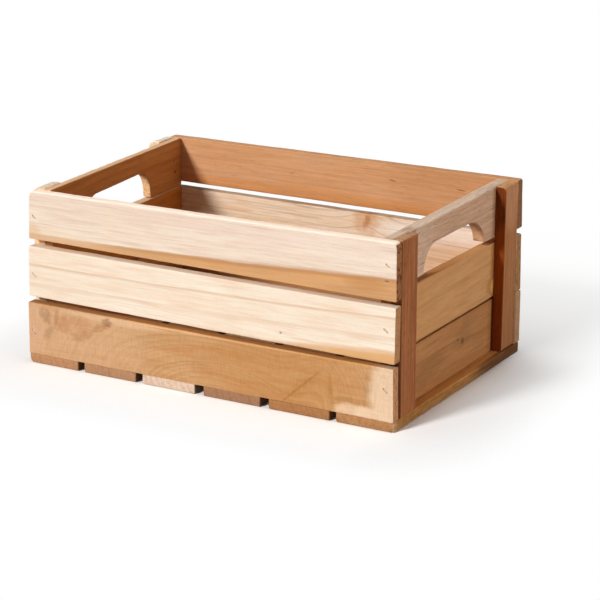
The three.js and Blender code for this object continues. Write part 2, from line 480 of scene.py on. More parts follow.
class WoodShader:
    """Paints one board's wood through its whole thickness, so faces, edges and ends agree.

    ROUGHNESS and HEIGHT say how much each mark of the wood adds to the roughness and to the relief.
    END_TURN is how far a face turns to the board's end, or to its side, before it is coloured as one.
    A rim of darker wood lies inside the heartwood's edge.
    """

    MATTE = 0.66
    ROUGHNESS = {"fibre": 0.05, "end": 0.15, "rubbed": -0.06, "lines": 0.05}
    HEIGHT = {"fibre": 0.5, "pores": -0.9, "lines": 0.35, "streaks": -0.3}
    GLOSS_LEVEL = 0.08
    RELIEF = 0.00025
    RELIEF_STRENGTH = 0.35
    END_TURN = (0.6, 0.85)
    END_FIBRE = 0.14
    END_LINES = 0.14
    SPECKLE_SHARE = 0.026
    SLOW_WANDER = Fleck(95.0, 26.0, 3.1)
    QUICK_WANDER = Fleck(22.0, 4.5, 7.7)
    QUICK_SHARE = 0.16
    RING_DRIFT = 0.3
    RING_DRIFT_PACE = 0.43
    LINE_PACE = 0.73
    LINE_SEED = 5.0
    LINE_SPAN = (-0.9, 0.9)
    LEAST_LINE = 0.2
    LINE_PEAK = 0.93
    LINE_END = (1.0, 0.95)
    CLOUDS = Fleck(70.0, 11.0, 1.3, 3.0, (-0.9, 0.9))
    TINTS = Fleck(34.0, 3.2, 5.9, 3.0, (-0.3, 1.1))
    HEART_EDGE = Fleck(14.0, 2.0, 2.2)
    HEART_RAGGED = 0.35
    HEART_CLOUDS = 0.16
    HEART_SHADE = 0.92
    RIM_OUTSIDE = 0.2
    RIM_INSIDE = (2.6, 0.4)
    RIM_SHADE = 0.1
    LONG_FIBRE = Fleck(48.0, 1.9, 11.0)
    LONG_SHARE = 0.6
    SHORT_FIBRE = Fleck(14.0, 1.2, 13.0)
    SHORT_SHARE = 0.5
    STREAKS = Fleck(42.0, 1.1, 29.0, 2.5, (0.3, 0.95))
    PALE_STREAKS = Fleck(55.0, 1.7, 31.0, span=(0.2, 1.0))
    PORES = Fleck(7.0, 0.7, 17.0, 1.0, (0.5, 0.95))
    CHATTER = Fleck(1.2, 8.0, 19.0)
    SPECKLE = Fleck(1.5, 1.2, 37.0)
    WEAR = Fleck(9.0, 3.0, 23.0, 3.0, (-0.7, 0.7))
    END_PORES = Fleck(2.2, 2.8, 41.0, span=(0.1, 0.55))

    def __init__(self, name: str, wood: Wood, thickness: float) -> None:
        """Starts a material.

        Args:
            name: Name of the material.
            wood: Finish to paint.
            thickness: Thickness of the board in millimetres.
        """
        self.made, self.bench = new_material(name)
        self.wood = wood
        self.thickness = thickness
        place = self.bench.node("ShaderNodeTexCoord", output="Object")
        self.facing = self.bench.node("ShaderNodeSeparateXYZ", {}, {0: place.output("Normal")})
        self.point = self.bench.millimetres(place)
        self.along = self.bench.node("ShaderNodeSeparateXYZ", {}, {0: self.point})
        self.across = self.along.output("Y")
        self.through = self.along.output("Z")

    def _cloud(self, fleck: Fleck) -> Value:
        """This board's own noise of one shape."""
        return self.bench.cloud(self.point, fleck, self.wood.seed)

    def _flecks(self, fleck: Fleck) -> Value:
        """This board's own flecks of one kind, from 0 to 1."""
        return self._cloud(fleck).step(*fleck.span)

    def _ellipse(self, along: float, across: float, reach: Pair, turn: float = 0.0) -> Value:
        """Squared distance from a place, in reaches.

        Args:
            along: Middle of the place along the board.
            across: Middle of the place across the board.
            reach: Reach of the place along and across.
            turn: Turn of the place in degrees.

        Returns:
            0 in the middle and 1 on the ellipse.
        """
        cosine, sine = math.cos(math.radians(turn)), math.sin(math.radians(turn))
        over, up = self.along - along, self.across - across
        first = over * (cosine / reach[0]) + up * (sine / reach[0])
        second = up * (cosine / reach[1]) - over * (sine / reach[1])
        return first * first + second * second

    def _radius(self) -> Value:
        """Distance from the pith, with the log's wander and swirls.

        Returns:
            The distance in millimetres.
        """
        log, bench = self.wood.log, self.bench
        up = self.across - log.across - self.along * (self.along * log.bend + log.lean)
        deep = self.through - log.through - self.along * log.dive
        radius = bench.math("SQRT", up * up + deep * deep)
        for swirl in self.wood.swirls:
            near = self._ellipse(swirl.along, swirl.across, (swirl.reach_along, swirl.reach_across))
            radius = radius - bench.math("EXPONENT", near * -1.0) * swirl.lift
        slow, quick = self._cloud(self.SLOW_WANDER), self._cloud(self.QUICK_WANDER)
        return radius + slow * log.wander + quick * (self.QUICK_SHARE * log.wander)

    def _growth_lines(self, radius: Value) -> Value:
        """Late wood of each ring: a line that darkens slowly and ends at once.

        Args:
            radius: Distance from the pith.

        Returns:
            The line's share, from 0 to 1.
        """
        bench, ring, seed = self.bench, self.wood.log.ring, self.wood.seed
        drift = bench.drift(radius * (self.RING_DRIFT_PACE / ring), seed)
        turns = radius * (1 / ring) + drift * self.RING_DRIFT
        share = bench.math("FRACT", turns)
        which = bench.math("FLOOR", turns)
        strong = bench.drift(which * self.LINE_PACE, seed + self.LINE_SEED).step(*self.LINE_SPAN)
        weight = strong * (1 - self.LEAST_LINE) + self.LEAST_LINE
        return share.step(self.wood.line_start, self.LINE_PEAK) * share.step(*self.LINE_END) * weight

    def _ground(self, radius: Value) -> Value:
        """Colour of the plain wood, with its heartwood.

        Args:
            radius: Distance from the pith.

        Returns:
            The colour.
        """
        wood, bench = self.wood, self.bench
        clouds = self._flecks(self.CLOUDS)
        colour = bench.mix(tone(wood.ground), tone(wood.blush), clouds)
        if wood.tint:
            colour = bench.mix(colour, tone(wood.tint), self._flecks(self.TINTS))
        if not wood.heart:
            return colour
        edge = math.hypot(wood.heart_edge - wood.log.across, self.thickness / 2 - wood.log.through)
        ragged = radius + self._cloud(self.HEART_EDGE) * self.HEART_RAGGED
        heart = bench.shaded(tone(wood.heart), clouds * self.HEART_CLOUDS + self.HEART_SHADE)
        soft = wood.heart_softness
        colour = bench.mix(colour, heart, ragged.step(edge + soft, edge - soft))
        deep, shallow = self.RIM_INSIDE
        rim = ragged.step(edge + soft, edge - self.RIM_OUTSIDE) * ragged.step(edge - deep, edge - shallow)
        return bench.shaded(colour, 1.0 - rim * self.RIM_SHADE)

    def _patched(self, colour: Value, patch: Patch) -> Value:
        """Lays one patch over a colour.

        Args:
            colour: Colour below.
            patch: Patch to lay.

        Returns:
            The colour with the patch.
        """
        near = self._ellipse(patch.along, patch.across, (patch.reach_along, patch.reach_across), patch.turn)
        frayed = near + self._cloud(patch.fray()) * patch.ragged
        inside = frayed.step(1.0 + patch.softness, 1.0 - patch.softness)
        return self.bench.mix(colour, tone(patch.tone), inside * patch.strength)

    def _sawn_ends(self, colour: Value, fibre: Value, lines: Value) -> tuple[Value, Value]:
        """Colours the sawn ends and paints shade on the long sides, light where the factor is above 1.

        Args:
            colour: Colour of the faces.
            fibre: Fibre noise.
            lines: Growth lines.

        Returns:
            The colour, and how far each place is end grain.
        """
        wood, bench = self.wood, self.bench
        end = abs(self.facing).step(*self.END_TURN)
        shade = fibre * self.END_FIBRE - lines * self.END_LINES + 1.0
        pores = self._flecks(self.END_PORES) * wood.end_pores
        cut = bench.mix(bench.shaded(tone(wood.end), shade), tone(wood.pore), pores)
        colour = bench.mix(colour, cut, end)
        # Painted shade on the long sides, and painted light where the factor is above 1.
        if wood.painted_side_shading != 1.0:
            side = abs(self.facing.output("Y")).step(*self.END_TURN)
            colour = bench.shaded(colour, 1.0 - side * (1.0 - wood.painted_side_shading))
        return colour, end

    def material(self) -> bpy.types.Material:
        """Builds the whole material.

        Returns:
            The material.
        """
        wood, bench = self.wood, self.bench
        radius = self._radius()
        lines = self._growth_lines(radius)
        colour = bench.mix(self._ground(radius), tone(wood.line), lines * wood.line_strength)
        for patch in wood.patches:
            colour = self._patched(colour, patch)
        long_fibre, short_fibre = self._cloud(self.LONG_FIBRE), self._cloud(self.SHORT_FIBRE)
        fibre = long_fibre * self.LONG_SHARE + short_fibre * self.SHORT_SHARE
        streaks = self._flecks(replace(self.STREAKS, along=wood.streak_length))
        pale = self._flecks(self.PALE_STREAKS)
        pores = self._flecks(self.PORES)
        shade = fibre * wood.fibre + pale * wood.pale + self._cloud(self.SPECKLE) * self.SPECKLE_SHARE + 1.0
        if wood.chatter:
            shade = shade + self._cloud(self.CHATTER) * wood.chatter
        streak = tone(wood.streak or wood.line)
        colour = bench.mix(bench.shaded(colour, shade), streak, streaks * wood.streaks)
        colour = bench.mix(colour, tone(wood.pore), pores * wood.pores)
        colour, end = self._sawn_ends(colour, fibre, lines)
        worn = bench.node("ShaderNodeAttribute", {"attribute_name": "worn"}, output="Fac")
        rubbed = worn * self._flecks(self.WEAR)
        colour = bench.shaded(colour, 1.0 - rubbed * (1.0 - wood.worn))
        marks = {"fibre": fibre, "lines": lines, "pores": pores, "streaks": streaks, "end": end,
                 "rubbed": rubbed}
        rough = sum(marks[name] * share for name, share in self.ROUGHNESS.items()) + self.MATTE
        height = sum(marks[name] * share for name, share in self.HEIGHT.items())
        bump = bench.node("ShaderNodeBump", {}, {
            "Strength": self.RELIEF_STRENGTH, "Distance": self.RELIEF, "Height": height})
        shader = bench.node("ShaderNodeBsdfPrincipled", {}, {
            "Base Color": colour, "Roughness": rough, "Normal": bump,
            "Specular IOR Level": self.GLOSS_LEVEL})
        bench.node("ShaderNodeOutputMaterial", {}, {"Surface": shader})
        return self.made


@dataclass(frozen=True)
class Steel:
    """Finish of the staples: dull zinc with brown specks.

    rust_strength, rust_roughness and rust_metal are what a speck adds to the colour, the roughness and the
    metal. The drawn marks of the wire vary shade, roughness and relief.
    """

    zinc: str = "CDBBA6"
    rust: str = "7A5A40"
    roughness: float = 0.5
    metal: float = 0.6
    specks: Fleck = Fleck(1.4, 0.9, 4.0, 3.0, (0.2, 1.0))
    rust_strength: float = 0.8
    rust_roughness: float = 0.3
    rust_metal: float = -0.5
    drawn: Fleck = Fleck(3.0, 0.12, 9.0)
    drawn_shade: float = 0.08
    drawn_roughness: float = 0.05
    relief: float = 0.0001
    relief_strength: float = 0.25

    def material(self) -> bpy.types.Material:
        """Builds the material.

        Returns:
            The material.
        """
        made, bench = new_material("staple_zinc")
        point = bench.millimetres(bench.node("ShaderNodeTexCoord", output="Object"))
        specks = bench.cloud(point, self.specks, 0.0).step(*self.specks.span)
        drawn = bench.cloud(point, self.drawn, 0.0)
        colour = bench.mix(tone(self.zinc), tone(self.rust), specks * self.rust_strength)
        bump = bench.node("ShaderNodeBump", {}, {
            "Strength": self.relief_strength, "Distance": self.relief, "Height": drawn})
        shader = bench.node("ShaderNodeBsdfPrincipled", {}, {
            "Base Color": bench.shaded(colour, drawn * self.drawn_shade + 1.0),
            "Metallic": specks * self.rust_metal + self.metal,
            "Roughness": specks * self.rust_roughness + drawn * self.drawn_roughness + self.roughness,
            "Normal": bump})
        bench.node("ShaderNodeOutputMaterial", {}, {"Surface": shader})
        return made


@dataclass(frozen=True)
class Flank:
    """One side of a hand hole, in millimetres: a quarter of a superellipse over a rounded foot.

    START is where the superellipse takes over from the foot, in radii of the foot.
    """

    FOOT_STEPS: ClassVar[int] = 4
    STEPS: ClassVar[int] = 12
    START: ClassVar[float] = 1.3
    foot: float
    shoulder: float
    rise: float
    power: float = 2.0
    foot_round: float = 1.4

    def outline(self, edge: float) -> list[Pair]:
        """Points from the board's lower edge round the foot and up to the shoulder.

        Args:
            edge: Height of the lower edge.

        Returns:
            The points, in order.
        """
        points = []
        outward = math.copysign(self.foot_round, self.foot - self.shoulder)
        for step in range(self.FOOT_STEPS + 1):
            turn = math.pi / 2 * (step / self.FOOT_STEPS - 1)
            over = outward * (1 - math.cos(turn))
            points.append((self.foot + over, edge + self.foot_round * (1 + math.sin(turn))))
        start = math.asin(min(1.0, (self.START * self.foot_round / self.rise) ** (self.power / 2)))
        for step in range(1, self.STEPS + 1):
            turn = start + (math.pi / 2 - start) * step / self.STEPS
            over = (self.foot - self.shoulder) * max(0.0, math.cos(turn)) ** (2 / self.power)
            points.append((self.shoulder + over, edge + self.rise * math.sin(turn) ** (2 / self.power)))
        return points


@dataclass(frozen=True)
class HandHole:
    """Arched hand hole in a board's lower edge, between two flanks."""

    CROWN_STEPS: ClassVar[int] = 10
    left: Flank
    right: Flank

    def outline(self, edge: float) -> list[Pair]:
        """Points from the left foot over the arch to the right foot.

        Args:
            edge: Height of the board's lower edge.

        Returns:
            The points, in order.
        """
        left, right = self.left, self.right
        crown = []
        for step in range(1, self.CROWN_STEPS):
            share = step / self.CROWN_STEPS
            over = left.shoulder + (right.shoulder - left.shoulder) * share
            crown.append((over, edge + left.rise + (right.rise - left.rise) * share))
        return left.outline(edge) + crown + right.outline(edge)[::-1]


@dataclass(frozen=True)
class Cut:
    """How a board was sawn and sanded, in millimetres.

    Corners are offsets along and across from the nominal corner. Eases are the sanded radii of the lower,
    right, upper and left edges. Trims move the face and the back outwards, and shift, slant and cant move
    the board through its thickness: all over, by its length and by its width.
    """

    lower_left: Pair = (0.0, 0.0)
    lower_right: Pair = (0.0, 0.0)
    upper_right: Pair = (0.0, 0.0)
    upper_left: Pair = (0.0, 0.0)
    rounds: Four = (1.3, 1.3, 1.3, 1.3)
    face_ease: Four = (0.5, 0.5, 0.5, 0.5)
    back_ease: Four = (0.6, 0.6, 0.6, 0.6)
    face_trim: float = 0.0
    back_trim: float = 0.0
    shift: float = 0.0
    slant: float = 0.0
    cant: float = 0.0
    rough: float = 0.16
    hand_hole: Optional[HandHole] = None


@dataclass(frozen=True)
class Seat:
    """Place of a staple's crown on a board's face, in millimetres, and its turn in degrees."""

    ROUND_STEPS: ClassVar[int] = 5
    along: float
    across: float
    turn: float
    half_length: float = 2.4
    half_width: float = 0.75
    depth: float = 0.55

    def ring(self, inset: float) -> list[Pair]:
        """Outline of the slot that the crown sank into.

        Args:
            inset: How far inside the slot's rim the outline lies.

        Returns:
            The outline's points.
        """
        cosine, sine = math.cos(math.radians(self.turn)), math.sin(math.radians(self.turn))
        run, width = self.half_length - self.half_width, self.half_width - inset
        points = []
        for end in (1, -1):
            for step in range(self.ROUND_STEPS + 1):
                angle = math.pi * (step / self.ROUND_STEPS - 1 / 2)
                over, up = end * (run + width * math.cos(angle)), end * width * math.sin(angle)
                points.append((self.along + over * cosine - up * sine,
                               self.across + over * sine + up * cosine))
        return points


class BoardMesh:
    """Mesh of a board with wavering outline, sanded edges, hand hole and staple slots, in its own frame.

    Lengths are in millimetres. SAW_WAVES holds the length, share and seed of each wave of the saw's waver.
    Sanded edges waver by EASE_WAVER of their radius away from the corners, and are never deeper than
    DEEPEST_EASE of the thickness. SUPPORT is the distance of the row of vertices inside a face's outline,
    and the rooms keep the vertices of a face apart, in supports or in halves of a staple's length.
    """

    SPACING = 1.7
    CORNER_STEPS = 3
    EASE_STEPS = 4
    DEEPEST_EASE = 0.75
    EASE_WAVER = 0.7
    EASE_WAVE = 13.0
    EASE_SEED = 31.0
    CORNER_ROOM = 2.0
    CORNER_FADE = 6.0
    SAW_WAVES = ((24.0, 1.0, 0.0), (3.4, 0.45, 9.0))
    SUPPORT = 0.9
    SUPPORT_ROOM = 0.9
    GRID = 7.5
    GRID_ROOM = 2.2
    SEAT_ROOM = 1.4
    SLOT_WALL = 0.2
    EDGE_WEAR = 1.0
    RIM_WEAR = 0.5
    SLOT_WEAR = 0.4
    INSIDE_ONLY = 1
    NEARLY_NOTHING = 1e-12
    SAME_PLACE = 1e-5
    JOINED = 0.002
    TOO_SHORT = 0.001
    CREASE = 40.0

    def __init__(self, size: Vector, cut: Cut, seats: list[Seat], seat_face: Face, seed: float) -> None:
        """Takes the board's sizes.

        Args:
            size: Length, width and thickness in millimetres.
            cut: How the board was sawn.
            seats: Staple slots.
            seat_face: Face that the slots are in.
            seed: Place in the noise.
        """
        self.half = size / 2
        self.cut = cut
        self.seats = seats
        self.seat_face = seat_face
        self.seed = seed
        self.points: list[tuple[float, float, float]] = []
        self.wear: list[float] = []
        self.faces: list[tuple[int, ...]] = []

    def _run(self, start: Pair, end: Pair, edge: int) -> list[tuple[float, float, int, int]]:
        """Points between two points of an edge.

        Args:
            start: First end, left out.
            end: Last end, left out.
            edge: Number of the edge.

        Returns:
            The points with their edge.
        """
        count = max(1, round(math.dist(start, end) / self.SPACING))
        over, up = end[0] - start[0], end[1] - start[1]
        shares = [step / count for step in range(1, count)]
        return [(start[0] + over * share, start[1] + up * share, edge, edge) for share in shares]

    def _outline(self) -> tuple[np.ndarray, np.ndarray]:
        """Nominal outline of the board, anticlockwise.

        Returns:
            The points and the two edges that each lies between: 0 lower, 1 right, 2 upper and 3 left.
        """
        long, wide = self.half.x, self.half.y
        corners = ((-long, -wide), (long, -wide), (long, wide), (-long, wide))
        arcs = []
        for number, (over, up) in enumerate(corners):
            radius = self.cut.rounds[number]
            middle = (over - math.copysign(radius, over), up - math.copysign(radius, up))
            steps = self.CORNER_STEPS + round(radius)
            turns = [math.radians(180 + 90 * (number + step / steps)) for step in range(steps + 1)]
            arcs.append([(middle[0] + radius * math.cos(turn), middle[1] + radius * math.sin(turn))
                         for turn in turns])
        path: list[tuple[float, float, int, int]] = []
        for number, arc in enumerate(arcs):
            path += [(*point, (number - 1) % 4, number) for point in arc]
            end = arcs[(number + 1) % 4][0]
            if number == 0 and self.cut.hand_hole:
                hole = self.cut.hand_hole.outline(-wide)
                path += self._run(arc[-1], hole[0], 0) + [(*point, 0, 0) for point in hole]
                path += self._run(hole[-1], end, 0)
            else:
                path += self._run(arc[-1], end, number)
        return np.array([p[:2] for p in path]), np.array([p[2:] for p in path])

    def _noise(self, points: np.ndarray, length: float, seed: float) -> np.ndarray:
        """Noise of -1 to 1 at each point.

        Args:
            points: Points in millimetres.
            length: Length of a wave.
            seed: Place in the noise.

        Returns:
            One value for each point.
        """
        deep = self.seed + seed
        return np.array([noise.noise(Vector((over / length, up / length, deep))) for over, up in points])

    def _inset(self, outline: np.ndarray, inward: np.ndarray, edges: np.ndarray, ease: Four) -> np.ndarray:
        """Outline of the flat part of a face, inside its sanded edges.

        Args:
            outline: Outline of the board.
            inward: Direction into the wood at each point.
            edges: Edges of each point, two different ones on a corner.
            ease: Sanded radius of each edge.

        Returns:
            The inner outline.
        """
        limits = np.array([self.half.x, self.half.y])
        corner_gap = np.linalg.norm(np.maximum(limits - np.abs(outline), 0), axis=1)
        away = np.clip((corner_gap - max(ease) - self.CORNER_ROOM) / self.CORNER_FADE, 0, 1)
        waver = 1 + self.EASE_WAVER * away * np.abs(self._noise(outline, self.EASE_WAVE, self.EASE_SEED))
        reach = np.array(ease)[edges].min(axis=1) * waver
        low = np.array([ease[3], ease[0]]) - limits
        high = limits - np.array([ease[1], ease[2]])
        return np.clip(outline + inward * reach[:, None], low, high)

    def _sawn(self, points: np.ndarray) -> np.ndarray:
        """Moves points of the nominal board by the four corners' offsets and the saw's waver.

        Args:
            points: Points of the nominal board.

        Returns:
            The points of the sawn board.
        """
        cut = self.cut
        along = ((points[:, 0] / self.half.x + 1) / 2)[:, None]
        across = ((points[:, 1] / self.half.y + 1) / 2)[:, None]
        low = (1 - along) * np.array(cut.lower_left) + along * np.array(cut.lower_right)
        high = (1 - along) * np.array(cut.upper_left) + along * np.array(cut.upper_right)
        waver = np.array([self._waver(over, up) for over, up in points])
        return points + (1 - across) * low + across * high + cut.rough * waver[:, :2]

    def _waver(self, over: float, up: float) -> Vector:
        """How far the saw strays at one place, before the cut's roughness."""
        return sum((noise.noise_vector(Vector((over / length, up / length, self.seed + seed))) * share
                    for length, share, seed in self.SAW_WAVES), Vector())

    def _add(self, over: float, up: float, deep: float, wear: float) -> int:
        """Adds a vertex.

        Args:
            over: Place along the board.
            up: Place across it.
            deep: Place through it, before the cut moves the board.
            wear: How far the place is worn, from 0 to 1.

        Returns:
            The vertex's number.
        """
        cut = self.cut
        self.points.append((over, up, deep + cut.shift + cut.slant * over + cut.cant * up))
        self.wear.append(wear)
        return len(self.points) - 1

    def _clear(self, points: np.ndarray, loop: np.ndarray, room: float) -> np.ndarray:
        """Keeps the points that lie inside a loop, clear of it.

        Args:
            points: Points to try.
            loop: Closed outline.
            room: Least distance to the outline.

        Returns:
            The points that stay.
        """
        start, end = loop, np.roll(loop, -1, axis=0)
        span = end - start
        length = np.maximum((span ** 2).sum(1), self.NEARLY_NOTHING)
        gap = points[:, None, :] - start[None]
        share = np.clip((gap * span[None]).sum(2) / length, 0, 1)
        near = np.sqrt(((gap - share[..., None] * span[None]) ** 2).sum(2)).min(1)
        above = (start[None, :, 1] > points[:, None, 1]) != (end[None, :, 1] > points[:, None, 1])
        rise = np.where(span[:, 1] == 0, self.NEARLY_NOTHING, span[:, 1])
        cross = start[None, :, 0] + (points[:, None, 1] - start[None, :, 1]) / rise * span[None, :, 0]
        inside = ((above & (points[:, None, 0] < cross)).sum(1) % 2) == 1
        return points[inside & (near > room)]

    def _cap(self, loop: np.ndarray, inward: np.ndarray, ring: list[int], level: float, way: Face) -> None:
        """Closes one face inside its loop.

        Args:
            loop: Outline of the flat part.
            inward: Direction into the wood at each point of it.
            ring: Vertices of the outline.
            level: Height of the face.
            way: Face that is closed.
        """
        long = np.arange(-self.half.x + self.GRID / 2, self.half.x, self.GRID)
        wide = np.arange(-self.half.y + self.GRID / 2, self.half.y, self.GRID)
        grid = np.array([(x, y) for x in long for y in wide])
        inner = [self._clear(loop + inward * self.SUPPORT, loop, self.SUPPORT * self.SUPPORT_ROOM)]
        if len(grid):
            inner.append(self._clear(grid, loop, self.SUPPORT * self.GRID_ROOM))
        extra = np.concatenate(inner)
        seats = self.seats if way == self.seat_face else []
        for seat in seats:
            away = np.hypot(extra[:, 0] - seat.along, extra[:, 1] - seat.across)
            extra = extra[away > seat.half_length * self.SEAT_ROOM]
        numbers = ring + [self._add(x, y, level, 0.0) for x, y in extra]
        flat = [Vector(p) for p in loop] + [Vector(p) for p in extra]
        edges = [(i, (i + 1) % len(loop)) for i in range(len(loop))]
        for seat in seats:
            for inset, depth in ((0.0, 0.0), (self.SLOT_WALL, seat.depth)):
                slot = seat.ring(inset)
                first = len(flat)
                flat += [Vector(p) for p in slot]
                numbers += [self._add(x, y, level - way * depth, self.SLOT_WEAR) for x, y in slot]
                edges += [(first + i, first + (i + 1) % len(slot)) for i in range(len(slot))]
        _, _, faces, origin, _, _ = delaunay_2d_cdt(flat, edges, [], self.INSIDE_ONLY, self.SAME_PLACE)
        for face in faces:
            a, b, c = (origin[i][0] for i in face)
            turn = (flat[b] - flat[a]).cross(flat[c] - flat[a])
            order = (a, b, c) if turn * way > 0 else (a, c, b)
            self.faces.append(tuple(numbers[i] for i in order))

    def build(self, name: str) -> bpy.types.Mesh:
        """Builds the mesh.

        Args:
            name: Name of the mesh.

        Returns:
            The mesh, in metres.
        """
        cut = self.cut
        outline, edges = self._outline()
        tangent = np.roll(outline, -1, axis=0) - np.roll(outline, 1, axis=0)
        tangent /= np.linalg.norm(tangent, axis=1)[:, None]
        inward = np.stack([-tangent[:, 1], tangent[:, 0]], axis=1)
        top, bottom = self.half.z + cut.face_trim, -self.half.z - cut.back_trim
        rings: list[list[int]] = []
        loops = []
        for way, level, ease in ((Face.BACK, bottom, cut.back_ease), (Face.FRONT, top, cut.face_ease)):
            inner = self._inset(outline, inward, edges, ease)
            loops.append(self._sawn(inner))
            depth = np.minimum(np.linalg.norm(outline - inner, axis=1), (top - bottom) * self.DEEPEST_EASE)
            steps = range(self.EASE_STEPS + 1)
            for step in steps if way is Face.BACK else reversed(steps):
                turn = math.pi / 2 * step / self.EASE_STEPS
                place = self._sawn(inner + (outline - inner) * math.sin(turn))
                deep = level - way * depth * (1 - math.cos(turn))
                wear = self.EDGE_WEAR if step else self.RIM_WEAR
                rings.append([self._add(p[0], p[1], z, wear) for p, z in zip(place, deep)])
        count = len(outline)
        for low, high in zip(rings, rings[1:]):
            for i in range(count):
                j = (i + 1) % count
                self.faces.append((low[i], low[j], high[j], high[i]))
        self._cap(loops[0], inward, rings[0], bottom, Face.BACK)
        self._cap(loops[1], inward, rings[-1], top, Face.FRONT)
        return self._finish(name)

    def _finish(self, name: str) -> bpy.types.Mesh:
        """Joins the vertices that meet and shades the mesh.

        Args:
            name: Name of the mesh.

        Returns:
            The mesh, in metres.
        """
        made = bmesh.new()
        layer = made.verts.layers.float.new("worn")
        verts = []
        for point, wear in zip(self.points, self.wear):
            vert = made.verts.new(Vector(point) * MM)
            vert[layer] = wear
            verts.append(vert)
        for face in self.faces:
            made.faces.new([verts[i] for i in face])
        bmesh.ops.remove_doubles(made, verts=made.verts, dist=self.JOINED * MM)
        bmesh.ops.dissolve_degenerate(made, edges=made.edges, dist=self.TOO_SHORT * MM)
        return new_mesh(made, name, self.CREASE)


@dataclass(frozen=True)
class Wire:
    """A staple of flattened wire, in millimetres, with a chisel point on each leg.

    TIP holds heights over the point and the share of the wire's width that is left there. FLATNESS is the
    power that flattens the sides of the round wire.
    """

    TIP: ClassVar[tuple[Pair, ...]] = ((1.2, 1.0), (0.25, 0.35), (0.0, 0.1))
    BEND_STEPS: ClassVar[int] = 4
    FLATNESS: ClassVar[float] = 0.6
    CREASE: ClassVar[float] = 50.0
    crown: float = 4.2
    thickness: float = 1.1
    bend: float = 0.45
    sink: float = 0.08
    sides: int = 12

    def build(self, name: str, leg: float) -> bpy.types.Mesh:
        """Sweeps the wire's section along crown and legs.

        Args:
            name: Name of the mesh.
            leg: Length of the legs.

        Returns:
            The mesh in metres, with its crown along X and its legs down -Z.
        """
        half = self.crown / 2 - self.thickness / 2
        corner = [math.pi / 2 * step / self.BEND_STEPS for step in range(self.BEND_STEPS + 1)]
        right = [(half + self.bend * (math.sin(turn) - 1), self.bend * (math.cos(turn) - 1))
                 for turn in corner]
        tip = [(half, height - leg) for height, _ in self.TIP]
        squash = [1.0] * len(right) + [share for _, share in self.TIP]
        path = [(-x, z) for x, z in (right + tip)[::-1]] + right + tip
        widths = squash[::-1] + squash
        made = bmesh.new()
        rings = []
        for place, (x, z) in enumerate(path):
            before, after = path[max(0, place - 1)], path[min(len(path) - 1, place + 1)]
            along = Vector((after[0] - before[0], 0, after[1] - before[1])).normalized()
            out = Vector((-along.z, 0, along.x))
            ring = []
            for step in range(self.sides):
                turn = math.tau * (step + 0.5) / self.sides
                flat = [math.copysign(abs(f) ** self.FLATNESS, f) for f in (math.cos(turn), math.sin(turn))]
                spread = out * flat[0] * widths[place] + Vector((0, 1, 0)) * flat[1]
                ring.append(made.verts.new((Vector((x, 0, z)) + spread * (self.thickness / 2)) * MM))
            rings.append(ring)
        for first, second in zip(rings, rings[1:]):
            for step in range(self.sides):
                after = (step + 1) % self.sides
                made.faces.new((first[step], first[after], second[after], second[step]))
        made.faces.new(rings[0][::-1])
        made.faces.new(rings[-1])
        bmesh.ops.recalc_face_normals(made, faces=made.faces)
        return new_mesh(made, name, self.CREASE)


